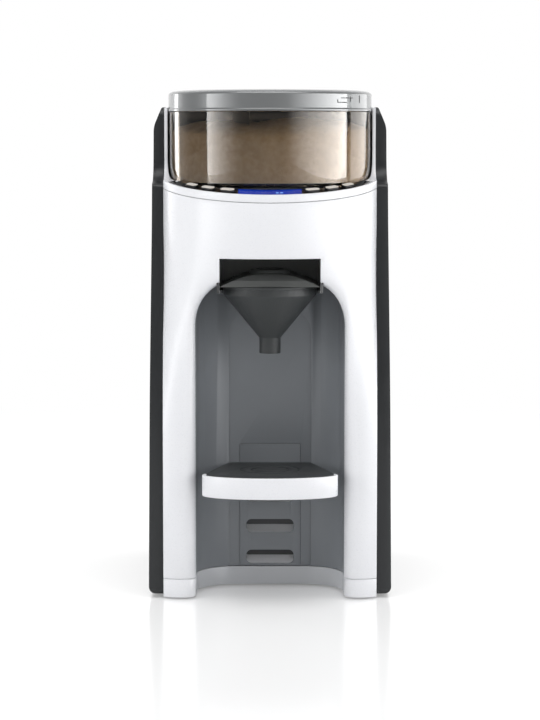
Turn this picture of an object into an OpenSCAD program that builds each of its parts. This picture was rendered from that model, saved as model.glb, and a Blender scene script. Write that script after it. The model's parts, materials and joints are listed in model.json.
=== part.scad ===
// Countertop baby formula maker: powder container on top, heated water tank behind,
// mixing funnel over a bay where a bottle stands on a removable tray.
// +X is the machine's right as seen from the front, -Y is the front, +Z is up.
// The origin lies on the table, in the middle of the machine's bounding box.

/* [Body] */
// Width of the white shell between the side panels
shell_w = 162.4; // [158:0.2:170]
// Thickness of a side panel at the table
panel_t = 11.3; // [8:0.1:14]
// How far a side panel leans in from bottom to top
panel_lean = 3; // [1:0.1:5]
// Height of the side panels' top edge
panel_top_z = 373.4; // [368:0.2:380]
// Wall of the moulded shells
wall = 2.5; // [1.8:0.1:3]
// Height of the rubber feet
foot_h = 1.6; // [1.2:0.2:4]
// Radius of a rubber foot
foot_r = 8; // [5:0.5:10]
// Height of the seam between base and front shell
seam_z = 16; // [12:0.5:24]
// Gap at the seams between shells
seam_gap = 0.4; // [0.2:0.1:0.6]
// Back face of the lower body
back_y = 128; // [124:0.5:130]
// Top of the shelf that carries the water tank
shelf_z = 106; // [96:1:112]
// Back face of the upper body
upper_back_y = 50.6; // [49:0.2:52]
// Top of the rear shell
rear_top_z = 366; // [358:1:372]
// Corner radius of the lower body's rear corners
rear_r = 14; // [6:1:24]

/* [Front shell] */
// Front of the two columns
column_front = 95; // [92:0.5:98]
// How far a column's face falls back at its outer edge
column_fall = 4; // [1:0.5:6]
// Distance from the middle at which a column's face starts to fall back
crest_x = 68; // [64:1:74]
// Radius of the round hood
hood_r = 85; // [84.5:0.1:86]
// Distance of the hood's axis behind the origin's front
hood_y = -40; // [-41:0.5:-39]
// Height at which the flat columns start to swell into the hood
swell_z0 = 120; // [80:5:150]
// Height at which the front is fully round
swell_z1 = 290; // [270:5:295]
// Round edge between the front shell and the bay
bay_fillet = 9; // [5:0.5:10]
// Depth of the front shell's side returns
return_y = -56; // [-60:1:-50]

/* [Bay] */
// Half width of the bay
bay_half_w = 56.5; // [54:0.5:58]
// Top of the bay
bay_top_z = 242.5; // [240:0.5:244]
// Reach of the bay's arch to each side
bay_arch_w = 28; // [20:1:30]
// Height of the bay's arch
bay_arch_h = 34; // [24:1:38]
// Back wall of the bay
bay_back_y = -38; // [-42:0.5:-34]
// Radius of the bay's rear corners, seen from above
bay_plan_r = 32; // [20:1:36]
// Wall of the bay liner
liner_t = 2.5; // [2:0.1:3]
// Half width of the arched recess in the back wall
recess_half_w = 32; // [28:0.5:34]
// Top of the arched recess
recess_top_z = 216; // [200:1:222]
// Corner radius of the arched recess
recess_r = 16; // [8:1:24]
// Depth of the arched recess
recess_depth = 1.2; // [0.6:0.1:1.4]
// Half width of the slot panel
slot_panel_half_w = 23.7; // [21:0.1:26]
// Top of the slot panel
slot_panel_top_z = 112; // [96:1:130]
// Length of a tray slot
slot_w = 37; // [30:0.5:40]
// Height of a tray slot
slot_h = 10.4; // [9:0.2:12]
// Depth of a tray slot
slot_d = 7.5; // [6:0.5:9]
// Height of the lowest slot's middle
slot_z = 23.2; // [22:0.2:26]
// Distance between the slots
slot_pitch = 24.3; // [20:0.1:26]
// Number of tray slots
slot_count = 3; // [3:1:3]

/* [Control ledge] */
// Height of the seam under the collar, at the front
ledge_z = 301.9; // [298:0.1:304]
// Slope of the ledge
ledge_tilt = 9; // [6:0.5:11]
// Height of the collar above its seam
collar_h = 6; // [5.5:0.1:7]
// Width of the white rim round the control strip
rim_w = 2; // [1.5:0.1:3]
// Further slope of the control strip towards the container
strip_cone = 11; // [6:0.5:12]
// Half width of the lit display
lcd_half_w = 23.5; // [18:0.5:26]
// Angles of the buttons on each side, from the front
button_angles = [24, 36.5, 49];
// Radius on which the buttons lie
button_ring_r = 77.6; // [77:0.1:78]
// Length of a button
button_w = 12; // [8:0.5:13]
// Depth of a button
button_d = 5.4; // [4:0.2:6]
// How far a button stands proud of the strip
button_proud = 0.6; // [0.3:0.1:1]
// Travel of a button
button_travel = 0.8; // [0.5:0.1:0.9]

/* [Powder container] */
// Outer radius of the powder container
container_r = 78.4; // [76:0.1:78.6]
// Wall of the powder container
container_wall = 2.4; // [1.8:0.1:3]
// Position of the container's axis
container_y = -32; // [-33:0.5:-31]
// Underside of the powder container
container_z = 313; // [312:0.2:316]
// Thickness of the container's floor
container_floor = 3; // [2:0.2:4]
// Underside of the lid's band
lid_z = 370; // [366:0.5:374]
// Height of the lid's band
lid_band_h = 13.4; // [10:0.2:16]
// Thickness of the lid's top
lid_t = 3; // [2:0.2:4]
// How far the lid stands out past the container
lid_proud = 0.6; // [0.3:0.1:0.7]
// Front edge of the ears beside the container
ear_front_y = -43; // [-46:0.5:-40]
// Radius with which the ears sweep into the ledge
sweep_r = 17; // [12:1:20]
// Clearance between the container or lid and the body round it
well_gap = 0.5; // [0.4:0.1:0.8]
// Height of the powder at the wall
powder_z = 351.5; // [340:0.5:356]
// Height of the powder's mound above that
mound_h = 12; // [4:0.5:14]
// Radius at which the powder drops into the funnel
drop_r = 46; // [44:0.5:48]
// Number of pockets in the mixing wheel
pocket_count = 8; // [5:1:10]
// Radius of a pocket
pocket_r = 9; // [6:0.5:10]

/* [Drive] */
// Top of the deck under the container
deck_z = 297; // [295:0.5:298]
// Thickness of the deck
deck_t = 3; // [2:0.5:4]
// Gear module
gear_m = 1; // [1:0.1:1]
// Teeth of the drive gear
gear_teeth = 48; // [40:4:52]
// Teeth of the motor pinion
pinion_teeth = 16; // [14:1:18]
// Face width of the gears
gear_h = 8; // [5:0.5:9]
// Radius of the drive shaft
shaft_r = 4; // [3:0.5:5]
// Corner radius of the hexagonal drive coupling
coupling_r = 7; // [6:0.5:8]
// Running clearance of shafts, on the radius
running_gap = 0.05; // [0.02:0.01:0.1]
// Gap between pieces that move past each other
gap = 0.3; // [0.2:0.05:0.4]

/* [Funnel] */
// Position of the funnel's axis
funnel_y = -78; // [-79:0.5:-77]
// Radius of the funnel's mouth
funnel_r = 35.3; // [32:0.1:35.5]
// Radius of the funnel's spout
spout_r = 8.1; // [6:0.1:10]
// Wall of the funnel
funnel_wall = 1.8; // [1.4:0.1:2.4]
// Underside of the funnel's flange
flange_z = 237; // [235:0.5:238]
// Thickness of the flange
flange_t = 2; // [1.5:0.1:2.5]
// Half width of the flange
flange_half_w = 37.2; // [36.6:0.1:37.4]
// Start of the cone below the mouth
cone_z = 232; // [228:0.5:233]
// End of the cone
cone_end_z = 198.8; // [194:0.2:202]
// Lower end of the spout
spout_z = 187; // [182:0.5:192]
// Rise of the vaulted funnel cover
cover_rise = 9.6; // [8:0.2:11]
// Height of the cover's front face
cover_front_h = 4.6; // [3:0.2:6]
// Rise of the dome over the funnel cover's inlet
dome_rise = 12.8; // [11:0.2:15]
// Radius of that dome
dome_r = 17; // [15:0.5:20]
// Half width inside the funnel dock
dock_half_w = 37.7; // [37.6:0.1:39]
// Underside of the dock's ceiling
dock_top_z = 260.6; // [258:0.2:264]
// Radius of the powder chute above the dock
chute_r = 13; // [11:0.5:14]

/* [Tray] */
// Half width of the tray
tray_half_w = 51; // [48:0.5:53]
// Distance from the origin to the tray's widest place
tray_wide_y = -108; // [-112:1:-104]
// Depth of the tray's round front
tray_nose = 23; // [18:0.5:23]
// Half width of the tray at the back wall
tray_back_half_w = 31.4; // [26:0.2:31.6]
// Underside of the tray
tray_z = 82; // [80:0.5:86]
// Height of the tray
tray_h = 16; // [12:0.5:18]
// Thickness of the white band round the tray's front
tray_rim = 2.4; // [1.8:0.1:4]
// Where the band ends at the tray's sides
band_end_y = -104; // [-106:0.5:-90]
// Depth of the tray's mat below the rim
mat_drop = 0.5; // [0.3:0.1:1.5]

/* [Water tank] */
// Half width of the tank
tank_half_w = 76; // [70:0.5:79]
// Front face of the tank
tank_front_y = 53; // [52.2:0.2:56]
// Back face of the tank
tank_back_y = 131; // [127:0.5:131]
// Underside of the tank
tank_z = 110.3; // [108:0.1:114]
// Top of the tank's walls
tank_top_z = 350; // [320:1:352]
// Wall of the tank
tank_wall = 2.4; // [1.8:0.1:3]
// Thickness of the tank's lid
tank_lid_t = 5.6; // [5:0.2:7]
// Position of the tank's outlet
outlet_x = 30; // [20:1:40]
// Distance of the tank's outlet behind the origin
outlet_y = 90; // [80:1:96]
// Radius of the outlet's spigot
spigot_r = 8; // [7:0.5:9]
// Length of the outlet's spigot
spigot_h = 5; // [4:0.5:6]

/* [Hidden] */
$fn = 96;
half_w = shell_w / 2;
base_z = foot_h;
base_top_z = seam_z - seam_gap;
body_z = seam_z;
hood_front = hood_y - hood_r;
well_r = container_r + lid_proud + well_gap;
floor_plate_t = 2.5;
plate_top_z = base_z + floor_plate_t;
tall = 500;

// ---------- shared shapes ----------

function unit(v) = v / norm(v);
function smooth01(t) = let (u = min(1, max(0, t))) u * u * (3 - 2 * u);
function flip(pts) = [for (i = [len(pts) - 1:-1:0]) [-pts[i].x, pts[i].y]];
function backwards(pts) = [for (i = [len(pts) - 1:-1:0]) pts[i]];

// Corner b of a polygon, rounded with radius r between its neighbours a and c
function corner(a, b, c, r, n) =
  let (
    u = unit(a - b),
    v = unit(c - b),
    half = acos(max(-1, min(1, u * v))) / 2,
    o = b + unit(u + v) * r / sin(half),
    s = b + u * r / tan(half) - o,
    e = b + v * r / tan(half) - o,
    a0 = atan2(s.y, s.x),
    turn = atan2(s.x * e.y - s.y * e.x, s * e)
  )
  [for (i = [0:n]) o + r * [cos(a0 + turn * i / n), sin(a0 + turn * i / n)]];

// Polygon from [x, y, radius] points
function rounded(p, n = 8) = [
  for (i = [0:len(p) - 1])
    let (
      a = [p[(i + len(p) - 1) % len(p)].x, p[(i + len(p) - 1) % len(p)].y],
      b = [p[i].x, p[i].y],
      c = [p[(i + 1) % len(p)].x, p[(i + 1) % len(p)].y]
    )
    each (p[i][2] == 0 ? [b] : corner(a, b, c, p[i][2], n))
];

module box(from, to) {
  translate(from)
    cube(to - from);
}

// Extrudes a front view, drawn as x and z, from y0 back to y1
module front_prism(y0, y1) {
  translate([0, y1, 0])
    rotate([90, 0, 0])
      linear_extrude(height = y1 - y0)
        children();
}

// Extrudes a side view, drawn as y and z, from x0 to x1
module side_prism(x0, x1) {
  translate([x0, 0, 0])
    rotate([90, 0, 90])
      linear_extrude(height = x1 - x0)
        children();
}

module pill(w, h) {
  square([w - h, h], center = true);
  for (s = [-1, 1])
    translate([s * (w - h) / 2, 0])
      circle(d = h);
}

module tube(r_out, r_in, z0, z1) {
  translate([0, 0, z0])
    difference() {
      cylinder(r = r_out, h = z1 - z0);
      translate([0, 0, -1])
        cylinder(r = r_in, h = z1 - z0 + 2);
    }
}

// A quarter bend of a hose, from the origin along +Y round to -Z
module elbow(hose_r, bend_r) {
  translate([0, 0, -bend_r])
    rotate([90, 0, 90])
      rotate_extrude(angle = 90)
        translate([bend_r, 0])
          circle(r = hose_r);
}

// ---------- the front surface ----------

function arc_y(x) = hood_y - sqrt(hood_r * hood_r - x * x);
function column_y(x) =
  let (k = max(0, (abs(x) - crest_x) / (half_w - crest_x)))
  column_fall * k * k - column_front;
function front_y(x, z) =
  let (w = smooth01((z - swell_z0) / (swell_z1 - swell_z0)))
  w * arc_y(x) + (1 - w) * column_y(x);
function ledge_seam_z(x) = ledge_z + (arc_y(x) - hood_front) * tan(ledge_tilt);

arch_z = bay_top_z - bay_arch_h;
arch_x = bay_half_w - bay_arch_w;
leg_steps = 10;
arc_steps = 10;
top_steps = 12;
fillet_steps = 5;
face_steps = 8;
outer_leg_z = 262;
outer_top_x = 58;
shell_lip = 1.5;
top_flange = 6.5;

// Left half of the bay's edge and of the shell's outer edge, as matching x and z pairs
left_bay = [
  for (i = [0:leg_steps]) [-bay_half_w, body_z + (arch_z - body_z) * i / leg_steps],
  for (j = [1:arc_steps])
    let (a = 180 - 90 * j / arc_steps)
    [-arch_x + bay_arch_w * cos(a), arch_z + bay_arch_h * sin(a)],
  for (k = [1:top_steps / 2]) [-arch_x * (1 - k / (top_steps / 2)), bay_top_z]
];
left_outer = [
  for (i = [0:leg_steps]) [-half_w, body_z + (outer_leg_z - body_z) * i / leg_steps],
  for (j = [1:arc_steps])
    let (
      t = j / (arc_steps / 2),
      x = -half_w + (half_w - outer_top_x) * max(0, t - 1)
    )
    t <= 1
      ? [-half_w, outer_leg_z + (ledge_seam_z(half_w) - outer_leg_z) * t]
      : [x, ledge_seam_z(x)],
  for (k = [1:top_steps / 2])
    let (x = -outer_top_x * (1 - k / (top_steps / 2)))
    [x, ledge_seam_z(x)]
];
half_count = len(left_bay);
bay_edge = concat(left_bay, [for (p = flip(left_bay)) if (p.x > 0.001) p]);
outer_edge = concat(left_outer, [for (p = flip(left_outer)) if (p.x > 0.001) p]);
edge_count = len(bay_edge);

// One rib of the shell's section, between bay edge b and outer edge o
function on_line(b, o, d) = b + unit(o - b) * d;
function skin_point(p, depth) = [p.x, front_y(p.x, p.y) + depth, p.y];
function outer_rib(b, o, side) = concat(
  [skin_point(b, bay_fillet + shell_lip)],
  [
    for (i = [0:fillet_steps])
      let (a = 90 * i / fillet_steps)
      skin_point(on_line(b, o, bay_fillet * (1 - cos(a))), bay_fillet * (1 - sin(a)))
  ],
  [
    for (k = [1:face_steps])
      skin_point(on_line(b, o, bay_fillet + (norm(o - b) - bay_fillet) * k / face_steps), 0)
  ],
  [side ? [o.x, return_y, o.y] : skin_point(o, top_flange)]
);
function inner_rib(b, o, side) =
  let (
    r = bay_fillet - wall,
    rim = side ? [o.x - sign(o.x) * wall, o.y] : on_line(o, b, wall),
    span = norm(rim - b)
  )
  concat(
    [[on_line(b, o, wall).x, front_y(b.x, b.y) + bay_fillet + shell_lip, on_line(b, o, wall).y]],
    [
      for (i = [0:fillet_steps])
        let (a = 90 * i / fillet_steps)
        skin_point(on_line(b, o, bay_fillet - r * cos(a)), bay_fillet - r * sin(a))
    ],
    [
      for (k = [1:face_steps])
        skin_point(on_line(b, rim, bay_fillet + (span - bay_fillet) * k / face_steps), wall)
    ],
    [side ? [rim.x, return_y, rim.y] : [rim.x, front_y(o.x, o.y) + top_flange, rim.y]]
  );

// The moulded front: a thin skin swept round the bay, closed along all its edges
module front_skin() {
  n = fillet_steps + face_steps + 3;
  side = [for (p = outer_edge) abs(p.x) > half_w - 0.01];
  pts = [
    for (v = [0:edge_count - 1]) each concat(
      outer_rib(bay_edge[v], outer_edge[v], side[v]),
      inner_rib(bay_edge[v], outer_edge[v], side[v])
    )
  ];
  function o(v, u) = v * 2 * n + u;
  function i(v, u) = v * 2 * n + n + u;
  faces = [
    for (v = [0:edge_count - 2]) each [
      for (u = [0:n - 2]) each [
        [o(v, u), o(v + 1, u), o(v + 1, u + 1)],
        [o(v, u), o(v + 1, u + 1), o(v, u + 1)],
        [i(v, u), i(v, u + 1), i(v + 1, u + 1)],
        [i(v, u), i(v + 1, u + 1), i(v + 1, u)]
      ],
      [o(v, 0), i(v, 0), i(v + 1, 0)],
      [o(v, 0), i(v + 1, 0), o(v + 1, 0)],
      [o(v, n - 1), o(v + 1, n - 1), i(v + 1, n - 1)],
      [o(v, n - 1), i(v + 1, n - 1), i(v, n - 1)]
    ],
    for (u = [0:n - 2]) each [
      [o(0, u), o(0, u + 1), i(0, u + 1)],
      [o(0, u), i(0, u + 1), i(0, u)],
      [o(edge_count - 1, u), i(edge_count - 1, u + 1), o(edge_count - 1, u + 1)],
      [o(edge_count - 1, u), i(edge_count - 1, u), i(edge_count - 1, u + 1)]
    ]
  ];
  polyhedron(points = pts, faces = faces);
}

module front_shell() {
  color("white")
    difference() {
      front_skin();
      box([-dock_half_w, hood_front - 10, bay_top_z - 20], [dock_half_w, hood_y, dock_top_z]);
      box(
        [-dock_half_w - dock_wall - gap, dock_side_y - gap, bay_top_z - 20],
        [dock_half_w + dock_wall + gap, hood_y, dock_top_z + dock_wall + gap]
      );
    }
}

// ---------- base ----------

// The right column's front edge in plan, from the bay round to the side
leg_plan = [
  for (p = outer_rib([bay_half_w, body_z], [half_w, body_z], true)) [p.x, p.y]
];

// The bay in plan, from the right column back and round to the left, grown by g
function bay_plan(g, front) = [
  [bay_half_w + g, front],
  each corner(
    [bay_half_w + g, front], [bay_half_w + g, bay_back_y + g], [0, bay_back_y + g],
    bay_plan_r + g, 10
  ),
  each corner(
    [0, bay_back_y + g], [-bay_half_w - g, bay_back_y + g], [-bay_half_w - g, front],
    bay_plan_r + g, 10
  ),
  [-bay_half_w - g, front]
];
bay_mouth_y = leg_plan[0].y;

module base_outline() {
  polygon(concat(
    backwards(bay_plan(liner_t, bay_mouth_y)),
    leg_plan,
    corner([half_w, return_y], [half_w, back_y], [-half_w, back_y], rear_r, 8),
    corner([half_w, back_y], [-half_w, back_y], [-half_w, return_y], rear_r, 8),
    flip(leg_plan)
  ));
}

pocket_x = half_w - wall - 3;
pocket_y0 = bay_back_y + liner_t + wall + 1;
pocket_y1 = back_y - wall - 3;

module base_pocket(g) {
  polygon(rounded([
    [-pocket_x + g, pocket_y0 + g, 6],
    [pocket_x - g, pocket_y0 + g, 6],
    [pocket_x - g, pocket_y1 - g, 6],
    [-pocket_x + g, pocket_y1 - g, 6]
  ], 4));
}

foot_places = [for (x = [-66.5, 66.5], y = [-72, 104]) [x, y]];
screw_places = [for (x = [-62, 62], y = [-14, 66]) [x, y]];

module base_frame() {
  color("white")
    translate([0, 0, base_z])
      difference() {
        linear_extrude(height = base_top_z - base_z)
          base_outline();
        translate([0, 0, -1])
          linear_extrude(height = tall)
            base_pocket(0);
      }
}

module base_trim() {
  color("darkgray")
    translate([0, 0, base_z])
      linear_extrude(height = base_top_z - base_z)
        difference() {
          polygon(bay_plan(liner_t, bay_mouth_y));
          polygon(concat(
            [[bay_half_w, bay_mouth_y - 1]],
            bay_plan(0, bay_mouth_y),
            [[-bay_half_w, bay_mouth_y - 1]]
          ));
        }
}

module bottom_plate() {
  color("dimgray")
    translate([0, 0, base_z])
      difference() {
        linear_extrude(height = floor_plate_t)
          base_pocket(0.1);
        for (p = screw_places)
          translate([p.x, p.y, -1])
            cylinder(r = 3.2, h = 10);
        for (x = [-30:12:30])
          translate([x, 50, -1])
            linear_extrude(height = 10)
              pill(8, 2.4);
      }
}

module rubber_feet() {
  color("black")
    for (p = foot_places)
      translate([p.x, p.y, 0])
        difference() {
          cylinder(r = foot_r, h = foot_h);
          translate([0, 0, -1])
            cylinder(r = foot_r / 2, h = 2);
        }
}

module bottom_screws() {
  color("silver")
    for (p = screw_places)
      translate([p.x, p.y, base_z + 0.4])
        difference() {
          cylinder(r = 3.1, h = floor_plate_t - 0.4);
          translate([0, 0, -0.1])
            cylinder(r = 1.6, h = 1.2, $fn = 6);
        }
}

// ---------- side panels and rear shell ----------

ledge_frame_z = ledge_z + hood_r * tan(ledge_tilt);
function collar_top_z(y) = ledge_frame_z + collar_h / cos(ledge_tilt) + (y - hood_y) * tan(ledge_tilt);

panel_out = half_w + panel_t;
panel_z = base_z + 1;
panel_front_y = -88;
panel_rear_y = 118;
panel_hood_y = -64;
panel_mid_z = 150;
rib_count = 5;
rib_t = 1.6;

module panel_front_view(t) {
  polygon(rounded([
    [half_w, panel_z + t, 0],
    [panel_out - t, panel_z + t, 6 - t],
    [panel_out - panel_lean - t, panel_top_z - 15, 20],
    [panel_out - panel_lean - 6.2 - t, panel_top_z - t, 2],
    [half_w, panel_top_z - t, 0]
  ]));
}

module panel_side_view(t) {
  polygon(rounded([
    [panel_front_y + t, panel_z + t, 5 - t],
    [panel_rear_y - t, panel_z + t, 5 - t],
    [panel_rear_y - t, shelf_z - t, 12 - t],
    [upper_back_y - t, shelf_z - t, 12 + t],
    [upper_back_y - t, panel_top_z - t, 8 - t],
    [ear_front_y + 1.5 + t, panel_top_z - t, 8 - t],
    [ear_front_y + 1.5 + t, collar_top_z(ear_front_y) - 2 - t, sweep_r + t],
    [panel_hood_y + t, collar_top_z(panel_hood_y) - 3 - t, 4 - t],
    [panel_hood_y - 1 + t, ledge_z - 20, 100],
    [panel_front_y + t, panel_mid_z, 400]
  ]));
}

module panel_form(t) {
  intersection() {
    front_prism(-200, 200)
      panel_front_view(t);
    side_prism(0, 120)
      panel_side_view(t);
  }
}

module right_side_panel() {
  color("#35383a")
    difference() {
      panel_form(0);
      difference() {
        panel_form(wall);
        for (k = [1:rib_count])
          translate([0, -200, panel_z + (panel_top_z - panel_z) * k / (rib_count + 1)])
            cube([200, 400, rib_t]);
      }
    }
}

module left_side_panel() {
  mirror([1, 0, 0])
    right_side_panel();
}

rear_join_y = -20;

module rear_side_view(t) {
  polygon(rounded([
    [rear_join_y - t, body_z, 0],
    [back_y - t, body_z, 0],
    [back_y - t, shelf_z - t, 6],
    [upper_back_y - t, shelf_z - t, 0],
    [upper_back_y - t, rear_top_z - t, 3],
    [rear_join_y - t, rear_top_z - t, 0]
  ]));
}

module rear_plan(t) {
  polygon(rounded([
    [-half_w + t, -100, 0],
    [half_w - t, -100, 0],
    [half_w - t, back_y - t, rear_r - t],
    [-half_w + t, back_y - t, rear_r - t]
  ]));
}

module rear_form(t) {
  intersection() {
    side_prism(-half_w + t, half_w - t)
      rear_side_view(t);
    linear_extrude(height = tall)
      rear_plan(t);
  }
}

cup_r = spigot_r + 4;
cup_h = 10;
inlet_x = 45;
inlet_z = 35;
inlet_w = 28;
inlet_h = 21;

module rear_shell() {
  color("#2e3133")
    difference() {
      rear_form(0);
      difference() {
        rear_form(wall);
        translate([0, container_y, deck_z])
          cylinder(r = well_r + wall, h = tall);
      }
      translate([0, container_y, deck_z - 10])
        cylinder(r = well_r, h = tall);
      translate([inlet_x, back_y, inlet_z])
        cube([inlet_w, 20, inlet_h], center = true);
      translate([outlet_x, outlet_y, shelf_z - 10])
        cylinder(r = cup_r + 0.1, h = 20);
      for (x = [-60:10:0], z = [30, 44])
        translate([x, back_y + 5, z])
          rotate([90, 0, 0])
            linear_extrude(height = 20)
              rotate(90)
                pill(10, 3);
    }
}

// ---------- bay ----------

// An arch in front view, grown by g, whose corners are quarter ellipses of w by h
module arch_view(g, top, half, w, h) {
  right = [
    for (j = [0:arc_steps])
      let (a = 90 * j / arc_steps)
      [half - w + (w + g) * cos(a), top - h + (h + g) * sin(a)]
  ];
  polygon(concat([[-half - g, body_z], [half + g, body_z]], right, flip(right)));
}

module bay_form(g) {
  intersection() {
    front_prism(-200, 0)
      arch_view(g, bay_top_z, bay_half_w, bay_arch_w, bay_arch_h);
    linear_extrude(height = tall)
      polygon(bay_plan(g, -200));
  }
}

// Side view of the liner's reach, so that its front edge stays just behind the shell's lip
liner_front = [
  for (i = [0:half_count - 1])
    let (b = left_bay[i])
    if (b.x <= -arch_x + 0.01)
      [front_y(b.x, b.y) + bay_fillet + shell_lip + seam_gap / 4, on_line(b, left_outer[i], wall).y]
];

dock_wall = 2;
rail_h = 2.8;
dock_front_r = hood_r - 6;
dock_front_y = hood_y + 1.5;
dock_side_y = dock_front_y - sqrt(pow(dock_front_r, 2) - pow(dock_half_w, 2));
dock_back_y = funnel_y + funnel_r + 2;
rail_long = dock_back_y - funnel_y + 28;
rail_mid_y = dock_back_y - rail_long / 2;

module dock_space(g) {
  box(
    [-dock_half_w - dock_wall - g, -200, bay_top_z - 12],
    [dock_half_w + dock_wall + g, dock_back_y + dock_wall + g, dock_top_z + dock_wall + g]
  );
}

module bay_liner() {
  color("#6a6f71")
    difference() {
      intersection() {
        bay_form(liner_t);
        side_prism(-100, 100)
          polygon(concat(
            liner_front,
            [
              [liner_front[len(liner_front) - 1].x, bay_top_z + 20],
              [0, bay_top_z + 20],
              [0, body_z]
            ]
          ));
      }
      bay_form(0);
      front_prism(bay_back_y - 5, bay_back_y + recess_depth)
        arch_view(0, recess_top_z, recess_half_w, recess_r, recess_r);
      dock_space(0.1);
      box(
        [-slot_panel_half_w - 0.2, bay_back_y - 5, 0],
        [slot_panel_half_w + 0.2, 0, slot_panel_top_z + 0.2]
      );
    }
}

slot_face_y = bay_back_y + recess_depth;
slot_wall = 1.5;

module slot_view(g) {
  w = slot_w / 2 + g;
  h = slot_h / 2 + g;
  polygon(rounded([[-w, -h, 4 + g], [w, -h, 4 + g], [w, h, 4 + g], [-w, h, 4 + g]], 6));
}

// A slot's pocket: its floor climbs towards the back, so that the tray's tongue lies at the top
module slot_pocket() {
  intersection() {
    front_prism(slot_face_y - 1, slot_face_y + slot_d)
      slot_view(0);
    side_prism(-slot_w, slot_w)
      polygon([
        [slot_face_y - 1, -slot_h / 2],
        [slot_face_y, -slot_h / 2],
        [slot_face_y + slot_d, 0],
        [slot_face_y + slot_d, slot_h],
        [slot_face_y - 1, slot_h]
      ]);
  }
}

module slot_panel() {
  color("#6a6f71")
    difference() {
      union() {
        box(
          [-slot_panel_half_w, slot_face_y, body_z],
          [slot_panel_half_w, bay_back_y + liner_t, slot_panel_top_z]
        );
        for (i = [0:slot_count - 1])
          translate([0, 0, slot_z + slot_pitch * i])
            front_prism(slot_face_y + 0.5, slot_face_y + slot_d + slot_wall)
              slot_view(slot_wall);
      }
      for (i = [0:slot_count - 1])
        translate([0, 0, slot_z + slot_pitch * i])
          slot_pocket();
    }
}

module funnel_dock() {
  ledge_in = funnel_r + 0.4;
  color("#333638")
    difference() {
      union() {
        intersection() {
          difference() {
            box(
              [-dock_half_w - dock_wall, -200, flange_z - rail_h],
              [dock_half_w + dock_wall, dock_back_y + dock_wall, dock_top_z + dock_wall]
            );
            box(
              [-dock_half_w, -300, 0],
              [dock_half_w, dock_back_y, dock_top_z]
            );
          }
          translate([0, dock_front_y, 0])
            cylinder(r = dock_front_r, h = tall);
        }
        for (s = [-1, 1])
          translate([s * (ledge_in + dock_half_w) / 2, rail_mid_y, flange_z - (rail_h + gap) / 2])
            cube([dock_half_w - ledge_in, rail_long, rail_h - gap], center = true);
        translate([0, funnel_y, dock_top_z])
          cylinder(r = chute_r, h = deck_z - deck_t - dock_top_z);
      }
      translate([0, funnel_y, -1])
        cylinder(r = chute_r - 2, h = tall);
      translate([0, funnel_y, 0])
        cylinder(r = funnel_r + 0.4, h = dock_top_z - 0.1);
      translate([nozzle_x, nozzle_y, dock_top_z - 1])
        cylinder(r = nozzle_r + 0.1, h = 10);
    }
}

// ---------- chassis and drive ----------

drive_y = container_y;
gear_pitch_r = gear_m * gear_teeth / 2;
pinion_pitch_r = gear_m * pinion_teeth / 2;
pinion_y = drive_y + gear_pitch_r + pinion_pitch_r;
gear_z = deck_z - deck_t - 5 - gear_h;
bracket_t = 3;
bracket_z = gear_z - 3 - bracket_t;
bracket_half_w = 36;
post_r = 3.5;
post_places = [
  for (x = [-31, 31], y = [drive_y - 8, pinion_y + 10]) [x, y]
];
chassis_x = 66;
chassis_t = 2.5;
chassis_y0 = -18;
chassis_y1 = 44;
seat_r = 68;

module chassis() {
  color("gray")
    difference() {
      union() {
        translate([0, 0, deck_z - deck_t])
          linear_extrude(height = deck_t)
            difference() {
              intersection() {
                union() {
                  translate([0, hood_y])
                    circle(r = hood_r - wall - 0.3);
                  translate([-half_w, hood_y])
                    square([2 * half_w, chassis_y1 + 3.6 - hood_y]);
                }
                square([2 * (half_w - wall - 0.05), 1000], center = true);
              }
              translate([0, drive_y])
                circle(r = shaft_r + running_gap);
              translate([0, container_y - drop_r])
                circle(r = pocket_r + 1.5);
            }
        translate([0, container_y, 0])
          tube(seat_r + 2, seat_r - 2, deck_z - 0.5, container_z - gap);
        for (s = [-1, 1])
          translate([s * (chassis_x + chassis_t / 2), (chassis_y0 + chassis_y1) / 2, 0])
            translate([-chassis_t / 2, (chassis_y0 - chassis_y1) / 2, plate_top_z])
              cube([chassis_t, chassis_y1 - chassis_y0, deck_z - deck_t - plate_top_z]);
        for (p = post_places)
          translate([p.x, p.y, bracket_z + bracket_t])
            cylinder(r = post_r, h = deck_z - deck_t - bracket_z - bracket_t + 0.5);
      }
      for (z = [60, 140, 220])
        translate([0, (chassis_y0 + chassis_y1) / 2, z])
          rotate([0, 90, 0])
            cylinder(r = 14, h = 300, center = true);
    }
}

module motor_bracket() {
  color("silver")
    translate([0, 0, bracket_z])
      difference() {
        translate([-bracket_half_w, drive_y - 12, 0])
          cube([2 * bracket_half_w, pinion_y - drive_y + 28, bracket_t]);
        translate([0, drive_y, -1])
          cylinder(r = shaft_r + running_gap, h = 10);
        translate([0, pinion_y, -1])
          cylinder(r = pinion_pitch_r - 2, h = 10);
      }
}

motor_r = 16;
motor_shaft_r = 2.5;

module gearmotor() {
  color("gray")
    translate([0, pinion_y, 0])
      difference() {
        union() {
          translate([0, 0, bracket_z - 14])
            cylinder(r = motor_r + 1, h = 14);
          translate([0, 0, bracket_z - 46])
            cylinder(r = motor_r - 2, h = 33);
          translate([0, 0, bracket_z - 50])
            cylinder(r = 6, h = 5);
        }
        translate([0, 0, bracket_z - 8])
          cylinder(r = motor_shaft_r + running_gap, h = 10);
      }
}

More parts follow.
